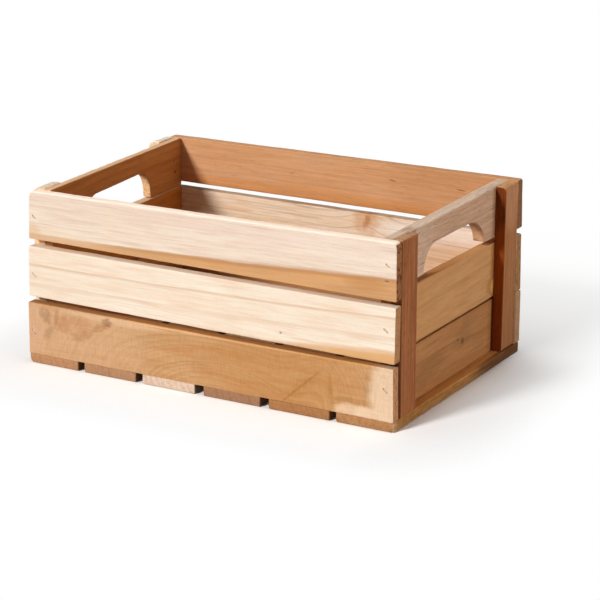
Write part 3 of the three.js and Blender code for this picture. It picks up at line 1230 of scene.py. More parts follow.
@dataclass
class Board:
    """One board of the crate, with the staples that were driven through it first.

    BEDDED is the share of a staple's thickness that stands clear in its slot.
    """

    BEDDED: ClassVar[float] = 0.43
    node: str
    facing: Facing
    cut: Cut
    wood: Wood
    slot: str
    staples: tuple[str, ...] = ()
    staple_face: Face = Face.FRONT
    drifts: tuple[Pair, ...] = ((0.0, 0.0), (0.0, 0.0))
    staple_turn: float = -45.0
    wire: Wire = Wire()

    def build(self, steel: bpy.types.Material) -> None:
        """Builds the board and its staples in the place of their nodes.

        Args:
            steel: Finish of the staples.
        """
        low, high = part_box(self.node)
        columns = [Vector(axis) for axis in self.facing.value]
        place = Matrix(columns).transposed().to_4x4()
        place.translation = (low + high) / 2
        size = Vector([abs(axis.dot(high - low)) / MM for axis in columns])
        to_board = place.inverted()
        seats = [self._seat(name, drift, to_board) for name, drift in zip(self.staples, self.drifts)]
        mesh = BoardMesh(size, self.cut, seats, self.staple_face, self.wood.seed).build(self.node + "_wood")
        mesh.materials.append(WoodShader(self.node + "_grain", self.wood, size.z).material())
        self._place(mesh, place, self.slot, self.node)
        level = size.z / 2 + (self.cut.face_trim if self.staple_face is Face.FRONT else self.cut.back_trim)
        for name, seat in zip(self.staples, seats):
            self._staple(name, seat, place, level, steel)

    def _seat(self, name: str, drift: Pair, to_board: Matrix) -> Seat:
        """Reads a staple's place from its node.

        Args:
            name: Node of the staple.
            drift: How far the staple went astray along and across the board.
            to_board: Matrix from the world to the board.

        Returns:
            The seat on the board's face.
        """
        low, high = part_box(name)
        middle = to_board @ ((low + high) / 2) / MM
        depth = self.wire.sink + self.wire.thickness * self.BEDDED
        return Seat(middle.x + drift[0], middle.y + drift[1], self.staple_turn, depth=depth)

    def _staple(self, name: str, seat: Seat, place: Matrix, level: float,
                steel: bpy.types.Material) -> None:
        """Makes one staple in its slot.

        Args:
            name: Node of the staple.
            seat: Its place on the board.
            place: Matrix from the board to the world.
            level: Height of the board's face over its middle.
            steel: Finish of the wire.
        """
        low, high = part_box(name)
        depth = abs(Vector(self.facing.value[2]).dot(high - low)) / MM
        mesh = self.wire.build(name + "_wire", depth - self.wire.thickness / 2)
        mesh.materials.append(steel)
        cut, way = self.cut, self.staple_face
        deep = way * (level - self.wire.sink - self.wire.thickness / 2)
        deep += cut.shift + cut.slant * seat.along + cut.cant * seat.across
        turn = Matrix.Rotation(math.radians(seat.turn), 4, "Z")
        flip = Matrix.Rotation(math.pi if way is Face.BACK else 0.0, 4, "X")
        spot = Matrix.Translation(Vector((seat.along, seat.across, deep)) * MM)
        self._place(mesh, place @ spot @ turn @ flip, "staple_steel", name)

    @staticmethod
    def _place(mesh: bpy.types.Mesh, place: Matrix, slot: str, node: str) -> None:
        """Puts a mesh in the scene in the place of a node, and reports it.

        Args:
            mesh: Mesh of the piece.
            place: Its matrix in the world.
            slot: Slot of the record that its finish comes from.
            node: Node that it stands for.
        """
        piece = new_object(mesh.name, mesh)
        piece.matrix_world = place
        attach(piece, "root")
        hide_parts(node)
        LOGGER.info("%s: %d faces, of %s", piece.name, len(mesh.polygons), slot)


@dataclass
class SlatWall:
    """A long wall of three slats, stapled to the posts from outside."""

    wall: Wall
    cuts: dict[Tier, Cut]
    woods: dict[Tier, Wood]
    drifts: dict[Tier, tuple[Pair, Pair]]

    def build(self, steel: bpy.types.Material) -> None:
        """Builds the three slats.

        Args:
            steel: Finish of the staples.
        """
        side = self.wall.value
        outer = Face.FRONT if self.wall is Wall.FRONT else Face.BACK
        for tier in Tier:
            staples = tuple(f"{side}_{tier.value}_staple_{end.value}" for end in Side)
            slat = Board(f"{side}_slat_{tier.value}", Facing.WALL, self.cuts[tier], self.woods[tier],
                         f"{side}_slat_wood", staples, outer, self.drifts[tier])
            slat.build(steel)


@dataclass
class CrateEnd:
    """A short end: three boards, the upper one with a hand hole, and the two posts outside them."""

    side: Side
    cuts: dict[Tier, Cut]
    woods: dict[Tier, Wood]
    post_cuts: dict[Wall, Cut]
    post_woods: dict[Wall, Wood]
    wire: Wire = Wire(sink=0.8)

    def build(self, steel: bpy.types.Material) -> None:
        """Builds the boards and the posts.

        Args:
            steel: Finish of the staples.
        """
        side = self.side.value
        inner = Face.FRONT if self.side is Side.LEFT else Face.BACK
        for tier in Tier:
            staples = tuple(f"{side}_end_{tier.value}_staple_{wall.value}" for wall in Wall)
            board = Board(f"{side}_end_board_{tier.value}", Facing.END, self.cuts[tier], self.woods[tier],
                          "end_board_wood", staples, inner, wire=self.wire)
            board.build(steel)
        facing = Facing.LEFT_POST if self.side is Side.LEFT else Facing.RIGHT_POST
        for wall in Wall:
            post = Board(f"{wall.value}_{side}_post", facing, self.post_cuts[wall], self.post_woods[wall],
                         "post_wood")
            post.build(steel)


@dataclass
class Base:
    """Six slats from front to back, stapled to the lower wall slats from below."""

    cuts: list[Cut]
    woods: list[Wood]
    drifts: tuple[Pair, Pair] = ((1.0, 0.0), (-1.0, 0.0))

    def build(self, steel: bpy.types.Material) -> None:
        """Builds the slats.

        Args:
            steel: Finish of the staples.
        """
        for number, (cut, wood) in enumerate(zip(self.cuts, self.woods), start=1):
            staples = tuple(f"base_{number}_staple_{wall.value}" for wall in Wall)
            slat = Board(f"base_slat_{number}", Facing.BASE, cut, wood, "base_slat_wood", staples,
                         Face.BACK, self.drifts)
            slat.build(steel)


@dataclass(frozen=True)
class Lamp:
    """A far lamp: where its light travels, how strong it is and the angle in degrees that it fills."""

    name: str
    path: Three
    strength: float
    spread: float

    def build(self) -> None:
        """Adds the lamp to the scene."""
        sun = bpy.data.lights.new(self.name, "SUN")
        sun.energy = self.strength
        sun.angle = math.radians(self.spread)
        lamp = new_object(self.name, sun)
        lamp.rotation_euler = Vector(self.path).to_track_quat("-Z", "Y").to_euler()


@dataclass
class Studio:
    """Camera at the photograph's angle, a key light from the front left, weaker ones and a white floor.

    Angles are in degrees and lengths in metres. The floor is paper that takes the crate's shadow, and away
    from the crate it gives way to a glow of its own: over shadow_reach beside and before the crate, over
    shadow_reach_behind behind it, and by rear_light from rear_start to rear_reach past the back wall. The
    glow is darker close to the crate, and most so on the right, in the lee of the key light.
    """

    azimuth: float = 29.644
    elevation: float = 17.298
    distance: float = 1.56836
    view_angle: float = 15.942
    target: Three = (0.02033, 0.0, 0.046848)
    lamps: tuple[Lamp, ...] = (
        Lamp("key", (0.302, 0.796, -0.525), 2.97, 11.0),
        Lamp("fill", (-0.97, -0.1, -0.06), 1.78, 50.0),
        Lamp("top", (0.0, 0.1, -1.0), 0.45, 25.0))
    sky: float = 0.07
    sky_tone: Colour = (1.0, 0.78, 0.58, 1.0)
    floor_size: float = 12.0
    floor_cells: int = 2
    floor_drop: float = 0.0003
    floor_bounce: float = 0.55
    floor_white: float = 1.14
    shadow_reach: float = 0.075
    shadow_reach_behind: float = 0.35
    shadow_fade: float = 0.3
    shadow_rim: float = 0.0035
    rear_start: float = -0.05
    rear_reach: float = 0.015
    rear_light: float = 0.5
    contact_reach: float = 0.09
    contact_shade: float = 0.3
    contact_samples: int = 8
    lee_shade: float = 0.68
    lee_reach: float = 0.02
    lee_front: float = 0.03
    lee_back: float = 0.125

    def build(self) -> None:
        """Sets up camera, lights and floor."""
        self._camera()
        for lamp in self.lamps:
            lamp.build()
        self._world()
        self._floor()
        bpy.context.scene.view_settings.view_transform = "Standard"

    def _camera(self) -> None:
        """Places the camera."""
        turn, lift = math.radians(self.azimuth), math.radians(self.elevation)
        back = Vector((math.sin(turn) * math.cos(lift), -math.cos(turn) * math.cos(lift), math.sin(lift)))
        lens = bpy.data.cameras.new("camera")
        lens.angle = math.radians(self.view_angle)
        camera = new_object("camera", lens)
        camera.location = Vector(self.target) + back * self.distance
        camera.rotation_euler = (-back).to_track_quat("-Z", "Y").to_euler()
        bpy.context.scene.camera = camera

    @staticmethod
    def _seen(bench: ShaderBench) -> Value:
        """Tells rays that show the background from rays that only carry its light.

        Args:
            bench: Tree of the background's material.

        Returns:
            1 for rays that show it, and 0 for the others.
        """
        path = bench.node("ShaderNodeLightPath", output="Is Camera Ray")
        shown = bench.math("MAXIMUM", path, path.output("Is Glossy Ray"))
        return bench.math("MAXIMUM", shown, path.output("Is Transmission Ray"))

    def _world(self) -> None:
        """Makes the surroundings, which show white and light the crate evenly and warmly."""
        world = bpy.data.worlds.new("studio")
        world.use_nodes = True
        bench = ShaderBench(world.node_tree)
        seen = self._seen(bench)
        colour = bench.mix(self.sky_tone, WHITE, seen)
        strength = seen * (1.0 - self.sky) + self.sky
        glow = bench.node("ShaderNodeBackground", {}, {"Color": colour, "Strength": strength})
        bench.node("ShaderNodeOutputWorld", {}, {"Surface": glow})
        bpy.context.scene.world = world

    def _beyond(self, bench: ShaderBench, over: Value) -> Value:
        """How far the floor's own glow shows instead of the paper that takes the shadow.

        Args:
            bench: Tree of the floor's material.
            over: Place on the floor, by its axes.

        Returns:
            0 under the crate, and 1 where its shadow has faded away.
        """
        low, high = cad_box
        past = over.output("Y") - high[1]
        beside = bench.math("MAXIMUM", abs(over) - (high[0] + self.shadow_rim), 0.0) / self.shadow_reach
        before = bench.math("MAXIMUM", low[1] - over.output("Y"), 0.0) / self.shadow_reach
        behind = bench.math("MAXIMUM", past, 0.0) / self.shadow_reach_behind
        squared = beside * beside + before * before + behind * behind
        near = bench.math("MINIMUM", bench.math("POWER", squared, self.shadow_fade), 1.0)
        rear = past.step(self.rear_start, self.rear_reach) * self.rear_light
        return 1.0 - (1.0 - near) * (1.0 - rear)

    def _contact(self, bench: ShaderBench, over: Value) -> Value:
        """Tone of the floor's glow, which is shaded where the crate stands close, most on the lee side.

        Args:
            bench: Tree of the floor's material.
            over: Place on the floor, by its axes.

        Returns:
            The tone, white away from the crate.
        """
        edge = cad_box[1][0]
        beside = over.step(edge - self.lee_reach, edge + self.lee_reach)
        lee = beside * over.output("Y").step(self.lee_back, self.lee_front) * self.lee_shade
        open_sky = bench.node("ShaderNodeAmbientOcclusion", {"samples": self.contact_samples},
                              {"Distance": self.contact_reach}, "AO")
        return bench.shaded(WHITE, 1.0 - (1.0 - open_sky) * (lee + self.contact_shade))

    def _floor(self) -> None:
        """Lays the floor, which shows white and keeps the crate's shadow, softly fading away from it."""
        made = bmesh.new()
        cells = self.floor_cells
        bmesh.ops.create_grid(made, x_segments=cells, y_segments=cells, size=self.floor_size / 2)
        mesh = new_mesh(made, "floor")
        material, bench = new_material("floor_paper")
        seen = self._seen(bench)
        place = bench.node("ShaderNodeTexCoord", output="Object")
        over = bench.node("ShaderNodeSeparateXYZ", {}, {0: place})
        white = bench.mix((self.floor_bounce,) * 3 + (1.0,), (self.floor_white,) * 3 + (1.0,), seen)
        paper = bench.node("ShaderNodeBsdfDiffuse", {}, {"Color": white})
        glow = bench.node("ShaderNodeEmission", {}, {"Color": self._contact(bench, over), "Strength": 1.0})
        share = seen * self._beyond(bench, over)
        shader = bench.node("ShaderNodeMixShader", {}, {0: share, 1: paper, 2: glow})
        bench.node("ShaderNodeOutputMaterial", {}, {"Surface": shader})
        mesh.materials.append(material)
        floor = new_object("floor", mesh)
        floor.location.z = -self.floor_drop


def front_wall() -> SlatWall:
    """Front wall: two pale slats over a honey-coloured one.

    Returns:
        The wall, ready to build.
    """
    crisp = {"face_ease": (0.3, 0.3, 0.8, 0.4), "back_ease": (0.5, 0.7, 0.8, 0.6)}
    rubbed = {"face_ease": (0.3, 1.1, 0.8, 0.4), "back_ease": (0.5, 1.2, 0.8, 0.6)}
    cuts = {
        Tier.UPPER: Cut((1.4, 0.6), (0.6, -1.9), (0.1, 0.2), (2.8, -2.1), rounds=(1.0, 1.0, 4.0, 4.2),
                        **rubbed),
        Tier.MIDDLE: Cut((-0.1, 0.5), (-0.5, -2.2), (-0.1, -0.8), (0.9, 0.4), rounds=(0.8, 0.8, 0.8, 0.8),
                         **crisp),
        Tier.LOWER: Cut((-1.9, 0.0), (-0.9, 0.0), (-1.4, -0.1), (-1.4, 1.2), rounds=(0.8, 0.6, 0.8, 1.0),
                        rough=0.22, **crisp),
    }
    # Side shading: painted light on the upper slat's lit top, painted shade on the tops under a slat.
    woods = {
        Tier.UPPER: Wood(
            "F5E3CF", "F1DCC8", "DCBCA6", Log(-300.0, lean=0.0294, bend=1e-4, ring=3.4, wander=0.7), 2.0,
            tint="ECD0BB", heart="D5A06C", heart_edge=-11.8, heart_softness=0.8, line_strength=0.28,
            fibre=0.055, streak="C49A82", streaks=0.42, streak_length=60.0, pale=0.03, pore="2E160A",
            pores=0.03, end="A66C44", end_pores=0.66, painted_side_shading=1.36, worn=1.06, patches=(
                Patch(-150.0, -15.5, 60.0, 9.0, "F2DCC0", 0.6, 0.8),
                Patch(-95.0, -19.0, 95.0, 4.5, "DBAA7A", 0.55, 0.7, -0.5),
                Patch(-147.0, -15.0, 10.0, 8.0, "E3B78A", 0.5, 0.8),
                Patch(0.0, 14.0, 190.0, 7.0, "EBCFBE", 0.4, 0.8, -0.8),
                Patch(112.0, 8.0, 55.0, 8.0, "FBEEDE", 0.2, 0.6),
                Patch(20.0, 18.2, 190.0, 1.4, "F8E8D8", 0.4, 0.5, 0.44),
                Patch(70.0, -9.5, 95.0, 2.2, "BC7F48", 0.4, 0.7, 2.4),
                Patch(-78.0, 4.0, 4.5, 16.0, "F2D8B0", 0.16, 0.8),
                Patch(143.0, -7.4, 1.7, 0.5, "6E4220", 0.65, 0.5),
                Patch(127.0, -12.0, 14.0, 5.0, "BF8146", 0.35, 0.8))),
        Tier.MIDDLE: Wood(
            "F9EAD7", "F5E0C8", "DAB08C", Log(-101.4, lean=0.018, bend=6e-5, ring=18.8, wander=0.5), 5.0,
            tint="F2D6BA", heart="F0CBA0", heart_edge=-21.0, heart_softness=3.0, line_strength=0.52,
            line_start=0.78, fibre=0.06, streak="DDB48F", streaks=0.28, streak_length=60.0, pale=0.03,
            pore="4A2812", pores=0.04, end="C98F62", end_pores=0.2, painted_side_shading=0.8, worn=1.02, patches=(
                Patch(130.0, -24.0, 78.0, 10.0, "E0AC74", 0.95, 0.7, 3.0),
                Patch(62.0, -12.6, 1.1, 0.9, "9A6A44", 0.6, 0.5))),
        Tier.LOWER: Wood(
            "D3A575", "CB9B6B", "A06A38", Log(-31.1, -1.0, dive=0.5, ring=2.9, wander=1.6), 9.0,
            tint="C98F5C", line_strength=0.3, line_start=0.1, fibre=0.045, streaks=0.0, pale=0.0,
            pores=0.1, chatter=0.07, pore="4A2812", end="D79B6D", end_pores=0.25, painted_side_shading=0.58,
            worn=1.0, swirls=(Swirl(98.0, 10.0, 26.0, 50.0, 20.0), Swirl(-85.0, 30.0, 40.0, 30.0, 9.0)),
            patches=(
                Patch(-78.0, 17.6, 42.0, 3.4, "F2CDA4", 0.6, 0.8, -1.0),
                Patch(-20.0, 19.0, 120.0, 1.1, "F6CBA0", 0.8, 0.4, -0.25, ragged=0.4),
                # Painted shade on the lower slat's top side, a saturated orange, paler at the face's top
                # rim.
                Patch(0.0, 20.1, 400.0, 1.0, "F9AE61", 0.85, 0.3, -0.25, ragged=0.2),
                Patch(-112.0, 0.0, 58.0, 40.0, "DDB28C", 0.5, 0.8),
                Patch(62.0, -4.0, 60.0, 40.0, "BF8448", 0.45, 0.8),
                Patch(-150.0, 0.0, 13.0, 32.0, "DDB08D", 0.5, 0.6),
                Patch(-136.0, 12.0, 4.4, 6.0, "93694A", 0.4, 0.9, 15.0, ragged=0.9),
                Patch(-127.0, 10.0, 1.6, 8.0, "94683F", 0.36, 0.9, -12.0, ragged=0.9),
                Patch(-134.0, -1.0, 3.2, 6.0, "9A7250", 0.32, 0.9, -30.0, ragged=0.9),
                Patch(-121.0, 8.0, 6.0, 7.0, "B9784E", 0.4, 0.9, ragged=0.9),
                Patch(-106.0, 11.0, 9.0, 5.0, "BD7F55", 0.3, 0.9, ragged=0.9),
                Patch(-104.0, 2.0, 10.0, 4.0, "B67A4C", 0.4, 0.9, 20.0, ragged=0.9),
                Patch(-88.0, 10.0, 7.0, 2.4, "A5703F", 0.4, 0.9, 25.0, ragged=0.9),
                Patch(-82.0, 14.5, 4.2, 3.2, "80502B", 0.5, 0.9, ragged=0.9),
                Patch(101.0, -2.0, 1.8, 11.0, "A06634", 0.3, 0.9, 4.0, ragged=0.8),
                # Painted shade on the lower slat's top side, under the middle slat.
                Patch(0.0, 21.0, 200.0, 2.6, "B8702E", 0.45, 0.5),
                Patch(77.0, -6.0, 21.0, 1.0, "94602E", 0.4, 0.9, 42.0, ragged=0.7),
                Patch(80.0, -4.0, 16.0, 5.0, "B57E42", 0.3, 0.9, 42.0, ragged=0.7),
                Patch(130.0, 4.0, 3.0, 13.0, "AC743C", 0.4, 0.9, -8.0, ragged=0.6),
                Patch(117.0, -9.0, 12.0, 2.8, "AC743C", 0.4, 0.9, ragged=0.6),
                Patch(149.0, 2.0, 18.0, 30.0, "EDCDAC", 0.85, 0.5, ragged=0.35),
                Patch(118.0, -18.0, 14.0, 7.0, "EDCDAC", 0.75, 0.7, ragged=0.5),
                Patch(132.0, -18.0, 14.0, 6.5, "EDCDAC", 0.85, 0.6, ragged=0.3))),
    }
    drifts = {
        Tier.UPPER: ((3.0, -2.0), (-2.2, 3.0)),
        Tier.MIDDLE: ((1.2, -2.2), (-3.2, 1.6)),
        Tier.LOWER: ((-0.9, -2.0), (-3.2, 3.0)),
    }
    return SlatWall(Wall.FRONT, cuts, woods, drifts)


def back_wall() -> SlatWall:
    """Back wall: tan and orange slats, seen from inside, leaning out at the top right.

    Returns:
        The wall, ready to build.
    """
    cuts = {
        Tier.UPPER: Cut((-3.5, 2.3), (0.0, 1.1), (-0.5, 0.0), (-4.6, -0.3), rounds=(1.0, 1.2, 1.8, 6.0),
                        shift=-1.5, slant=-0.01),
        Tier.MIDDLE: Cut((-4.0, 0.0), (0.6, -2.8), (0.1, 2.1), (-4.0, 2.9), rounds=(1.3, 0.6, 1.3, 1.3),
                         shift=-1.05, slant=-0.007),
        Tier.LOWER: Cut((-4.0, 0.0), (1.7, 0.0), (1.5, 2.5), (-4.0, 0.0), rounds=(2.0, 2.0, 0.6, 1.3),
                        shift=-0.3, slant=-0.002),
    }
    woods = {
        Tier.UPPER: Wood(
            "E2AC7E", "D99E6C", "B4743F", Log(-220.0, lean=-0.01, ring=5.0, wander=1.6), 12.0,
            tint="D8A47C", line_strength=0.24, fibre=0.1, streak="B67A4A", streaks=0.26, pale=0.06,
            pores=0.2, end="97684A", end_pores=0.15, patches=(
                Patch(120.0, 0.0, 80.0, 40.0, "C68E60", 0.6, 0.8),
                Patch(0.0, -17.0, 220.0, 8.0, "D8904F", 0.55, 0.7),
                Patch(0.0, -19.0, 220.0, 5.0, "C27C44", 0.4, 0.8),
                Patch(47.0, 6.5, 2.8, 0.45, "6B3F22", 0.65, 0.6, -6.0),
                Patch(104.0, 6.0, 3.6, 0.45, "6B3F22", 0.65, 0.6, -4.0),
                Patch(-40.0, 2.0, 2.0, 0.4, "7B4A28", 0.4, 0.5))),
        # Its side shading is painted shade on the top side, under the upper slat.
        Tier.MIDDLE: Wood(
            "F6DFC6", "EBCCA8", "A8754A",
            Log(-120.0, -40.0, lean=-0.05, bend=-2e-4, ring=4.2, wander=1.6), 15.0, tint="E6C09A",
            line_strength=0.36, line_start=0.6, fibre=0.08, streak="A06E46", streaks=0.36,
            streak_length=110.0, pale=0.06, pores=0.1, painted_side_shading=0.76,
            swirls=(Swirl(27.0, 17.0, 20.0, 12.0, 9.0),), patches=(
                Patch(25.0, 14.5, 11.0, 8.0, "D2945E", 0.55, 0.95, ragged=0.9),
                Patch(26.0, 15.6, 2.8, 5.6, "B4652C", 0.55, 0.95, -16.0, ragged=0.8),
                Patch(52.0, 14.0, 14.0, 4.0, "F8E6D4", 0.7, 0.7, -6.0),
                Patch(95.0, 13.0, 55.0, 9.0, "FDF0E4", 0.65, 0.8),
                Patch(115.0, -6.0, 60.0, 16.0, "D5A376", 0.55, 0.8))),
        Tier.LOWER: Wood(
            "BC8C60", "B27E50", "96643A", Log(-90.0, 30.0, lean=0.04, ring=8.0, wander=2.0), 18.0,
            tint="AC784A", line_strength=0.45, end="CC9A72", end_pores=0.08, patches=(
                Patch(152.0, 0.0, 3.0, 40.0, "F4D6B0", 0.9, 0.4),)),
    }
    drifts = {tier: ((1.0, 0.6), (-3.0, -0.9)) for tier in Tier}
    return SlatWall(Wall.BACK, cuts, woods, drifts)


def right_end() -> CrateEnd:
    """Right end, turned to the camera and in half shade.

    Returns:
        The end, ready to build.
    """
    hole = HandHole(Flank(-43.5, -25.0, 19.8), Flank(52.5, 27.0, 19.6, 1.9))
    cuts = {
        Tier.UPPER: Cut((0.0, 0.3), (2.4, -1.9), (2.4, -0.3), (0.0, -1.8), back_trim=2.2, hand_hole=hole,
                        face_ease=(0.5, 0.5, 0.9, 0.5)),
        Tier.MIDDLE: Cut((0.0, -0.2), (2.4, -1.5), (2.4, -2.5), (0.0, 0.6), back_trim=0.6),
        Tier.LOWER: Cut((0.0, 0.0), (2.4, 0.0), (2.4, -2.0), (0.0, -0.8), back_trim=0.6),
    }
    woods = {
        Tier.UPPER: Wood(
            "E0B595", "D8AA88", "A87A58", Log(-140.0, 20.0, lean=0.015, ring=4.0, wander=1.2), 21.0,
            tint="D3A78A", line_strength=0.3, fibre=0.17, streak="8A6046", streaks=0.48,
            streak_length=20.0, pale=0.06, pore="6E4830", pores=0.6, end="DAAC82", end_pores=0.4,
            patches=(
                Patch(-70.0, 0.0, 42.0, 30.0, "EAC8AE", 0.45, 0.8),
                # Painted shade in the corner beside the back post.
                Patch(71.0, 0.0, 4.0, 60.0, "B58058", 0.6, 0.8),
                Patch(0.0, 17.9, 130.0, 1.5, "E6CCB4", 0.85, 0.4, 0.47),
                Patch(-66.0, 15.5, 12.0, 1.0, "8A5C3C", 0.6, 0.7, 4.0, ragged=0.8),
                Patch(-58.0, 12.0, 9.0, 0.6, "7A4E30", 0.6, 0.7, 6.0, ragged=0.8))),
        Tier.MIDDLE: Wood(
            "E2AA72", "DB9F66", "C08450", Log(-90.0, 60.0, lean=0.02, ring=10.0, wander=1.5), 24.0,
            tint="D69A62", line_strength=0.25, fibre=0.08, streaks=0.25, pale=0.03, pores=0.2,
            # Side shading: slight painted shade on the top side, under the upper board.
            painted_side_shading=0.92, patches=(
                Patch(0.0, 22.0, 110.0, 2.4, "C27A42", 0.6, 0.4),
                # Painted shade in the corner beside the back post.
                Patch(71.0, 0.0, 4.0, 60.0, "B87638", 0.6, 0.8),
                Patch(66.0, -13.0, 5.5, 5.0, "B0763F", 0.5, 0.7),
                Patch(70.5, -14.0, 2.6, 5.5, "F2C06A", 0.9, 0.4, ragged=0.5))),
        Tier.LOWER: Wood(
            "CB905C", "C1834F", "93602F", Log(-70.0, -50.0, lean=-0.03, ring=9.0, wander=2.5), 27.0,
            tint="B98050", line_strength=0.35, fibre=0.1, streaks=0.3, pores=0.3, patches=(
                # Painted shade beside the back post, then a painted shadow line where the board meets it.
                Patch(69.0, 0.0, 5.0, 60.0, "AE7238", 0.5, 0.8),
                Patch(71.5, 0.0, 1.8, 60.0, "40200C", 0.85, 0.6),
                Patch(26.0, 6.0, 16.0, 9.0, "A5744A", 0.5, 0.9, 20.0, ragged=0.9),
                Patch(21.6, 1.0, 2.6, 2.2, "6E4526", 0.7, 0.7),
                Patch(13.7, 4.0, 1.4, 1.0, "5E3A20", 0.7, 0.6),
                Patch(-34.0, -6.0, 26.0, 8.0, "A06E42", 0.5, 0.9, 10.0, ragged=0.9),
                Patch(-62.0, 6.0, 9.0, 9.0, "A9733F", 0.4, 0.9, ragged=0.9))),
    }
    post_cuts = {
        Wall.FRONT: Cut((0.0, -2.0), (0.0, -2.0), face_ease=(1.2, 2.0, 1.0, 1.0),
                        rounds=(1.0, 1.0, 1.5, 2.0)),
        Wall.BACK: Cut((0.0, -0.5), (0.0, -3.4), (0.0, -2.4), (0.0, -1.6), face_ease=(1.0, 4.0, 0.6, 2.0),
                       rounds=(1.0, 2.5, 1.5, 1.5), rough=0.32),
    }
    post_woods = {
        Wall.FRONT: Wood(
            "B87446", "A8653A", "7E4226", POST_LOG, 30.0, tint="B57048", line_strength=0.35, fibre=0.24,
            streak="7C4226", streaks=0.45, streak_length=26.0, pore="52260F", pores=0.75, end="C69870",
            end_pores=0.3, worn=1.06,
            # Painted shade in the seam where the post meets the slats.
            patches=(Patch(0.0, 11.8, 150.0, 1.9, "3A1C0C", 0.6, 0.6, ragged=0.9),)),
        Wall.BACK: Wood(
            "B97C50", "AB6E43", "824B28", POST_LOG, 33.0, tint="B67A50", line_strength=0.3, fibre=0.13,
            streak="8A5634", streaks=0.4, streak_length=30.0, pore="5A3018", pores=0.45, end="D8A472",
            end_pores=0.3, patches=(
                Patch(0.0, 7.7, 150.0, 1.0, "D08C50", 0.5, 0.6, ragged=0.6),
                Patch(54.0, -2.0, 24.0, 16.0, "D0966B", 0.7, 0.8),
                Patch(-42.0, -2.0, 32.0, 16.0, "B0764B", 0.6, 0.8),
                # Painted shadow of the end boards on the post's inner side.
                Patch(0.0, 11.0, 150.0, 2.7, "97430F", 0.95, 0.3, -0.35, ragged=0.25),
                # Painted shadow on the top of the inner side, where the key light reaches it.
                Patch(50.0, 11.0, 28.0, 2.7, "5E2A0A", 0.85, 0.4, -0.35))),
    }
    return CrateEnd(Side.RIGHT, cuts, woods, post_cuts, post_woods)


def left_end() -> CrateEnd:
    """Left end, seen from inside and racked a little out of square.

    Returns:
        The end, ready to build.
    """
    rack, middle, post_middle, packing = -0.038, -2.1, 80.9, 2.4
    lean = {"shift": middle, "slant": rack}
    hole = HandHole(Flank(-50.0, -30.0, 20.3), Flank(44.5, 27.0, 21.4, 2.5))
    cuts = {
        Tier.UPPER: Cut((0.0, -2.2), (0.0, -2.0), (0.0, -0.45), (0.0, -1.25), hand_hole=hole,
                        face_ease=(0.5, 0.5, 0.4, 0.5), back_ease=(0.6, 0.6, 2.2, 0.6), **lean),
        Tier.MIDDLE: Cut(upper_right=(0.0, 0.7), upper_left=(0.0, 0.5), **lean),
        Tier.LOWER: Cut(**lean),
    }
    # Tones are partly the wood's own and partly painted shade: darker, more saturated, for inner faces in
    # shade.
    woods = {
        Tier.UPPER: Wood(
            "B8763D", "AC6A31", "884E24", Log(-120.0, 30.0, lean=0.02, ring=7.0, wander=1.6), 36.0,
            tint="B26933", line_strength=0.3, fibre=0.09, streaks=0.3, end="EFC08E", worn=1.1, patches=(
                # Pale top edge: the lit top, painted paler than the face with its painted shade.
                Patch(0.0, 18.45, 400.0, 1.4, "EDC59C", 0.85, 0.2, 0.25, ragged=0.1),
                Patch(82.0, -7.8, 1.1, 1.6, "54280F", 0.75, 0.5))),
        Tier.MIDDLE: Wood(
            "BA742C", "AE6624", "864C20", Log(-90.0, -40.0, lean=0.03, ring=8.0, wander=2.0), 39.0,
            tint="B0662C", line_strength=0.3, fibre=0.09, streaks=0.3, patches=(
                # Pale top edge seen in the hand hole: the lit top, painted paler than the shaded face.
                Patch(0.0, 22.3, 120.0, 1.2, "EFCFA8", 0.85, 0.25, 0.06, ragged=0.1),)),
        Tier.LOWER: Wood(
            "C98E5A", "BD7E4A", "98602F", Log(-80.0, 40.0, lean=-0.02, ring=8.0, wander=2.0), 42.0,
            tint="B97844", line_strength=0.4),
    }
    front_shift, back_shift = -middle + rack * post_middle, -middle - rack * post_middle
    post_cuts = {
        Wall.FRONT: Cut(lower_right=(-1.2, 0.0), upper_right=(-1.0, 0.0), face_ease=(1.5, 5.0, 5.0, 2.0),
                        back_trim=packing, shift=front_shift + packing, slant=-0.018, cant=-rack),
        Wall.BACK: Cut(upper_right=(-0.5, 0.0), face_ease=(0.9, 6.0, 1.5, 2.0), face_trim=1.8,
                       shift=back_shift, cant=-rack),
    }
    post_woods = {
        Wall.FRONT: Wood("F5D8B8", "EECBA6", "C99A6C", POST_LOG, 45.0, line_strength=0.3, end="F7DFC2",
                         end_pores=0.1, worn=1.08),
        Wall.BACK: Wood("F3D6B4", "ECCAA4", "C99C70", POST_LOG, 48.0, line_strength=0.3, end="FBEAD6",
                        end_pores=0.1, worn=1.08),
    }
    return CrateEnd(Side.LEFT, cuts, woods, post_cuts, post_woods)


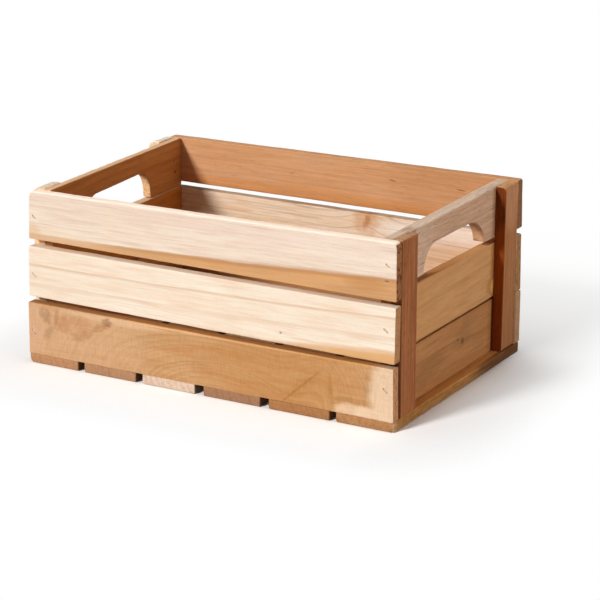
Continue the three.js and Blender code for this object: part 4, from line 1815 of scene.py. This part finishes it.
def base() -> Base:
    """Base of six slats whose front ends show under the front wall.

    Returns:
        The base, ready to build.
    """
    front_shifts = ((2.9, 2.8), (3.8, 4.5), (4.8, 5.1), (2.5, 4.7), (-1.4, 2.5), (0.4, 0.7))
    cuts = [Cut(lower_left=(0.0, right), upper_left=(0.0, left), face_ease=(0.5, 0.3, 0.5, 0.3),
                back_ease=(1.0, 1.2, 1.0, 0.4), rough=0.1) for right, left in front_shifts]
    cuts[0] = replace(cuts[0], rounds=(1.5, 1.5, 3.0, 3.5), back_ease=(1.0, 1.4, 4.2, 0.6))
    cuts[5] = replace(cuts[5], rounds=(3.0, 5.0, 1.5, 1.5), lower_right=(2.6, -1.6), upper_right=(2.0, 0.0),
                      face_ease=(1.0, 0.6, 0.5, 0.3), back_ease=(0.8, 1.6, 1.2, 0.6))
    first_seed, seed_step = 51.0, 3.0
    # Side shading paints deep shade on the slats' long sides, in the dark gaps between them.
    plain = Wood("CF9F72", "C49164", "A47048", Log(-60.0, 25.0, ring=5.0, wander=1.5), first_seed,
                 line_strength=0.4, fibre=0.09, end_pores=0.14, painted_side_shading=0.3)
    tones = (("CA9468", "BC8558", "C28E65"), ("C2926C", "B5845C", "BA8C68"), ("E8C6AC", "DDB79C", "E8CAB2"),
             ("C4977A", "B28264", "AB7E5E"), ("C08C60", "B47C50", "B27D50"), ("DA9C5A", "CC8A4A", "AC7C52"))
    woods = [replace(plain, ground=ground, blush=blush, end=end, seed=first_seed + seed_step * place)
             for place, (ground, blush, end) in enumerate(tones)]
    foot = (Patch(98.0, -24.0, 70.0, 4.4, "4E2A14", 0.75, 0.6, ragged=0.4),
            Patch(-100.0, -21.8, 4.5, 3.6, "F2CC9E", 0.7, 0.6))
    # The outer slat's side gets lighter painted shade.
    woods[5] = replace(woods[5], painted_side_shading=0.58, worn=1.3, patches=foot)
    return Base(cuts, woods)


def main() -> None:
    """Builds the studio and the crate, and logs each piece."""
    logging.basicConfig(level=logging.INFO, format="%(name)s: %(message)s")
    noise.seed_set(SAW_SEED)
    Studio().build()
    steel = Steel().material()
    for part in (front_wall(), back_wall(), right_end(), left_end(), base()):
        part.build(steel)


if __name__ == "__main__":
    main()
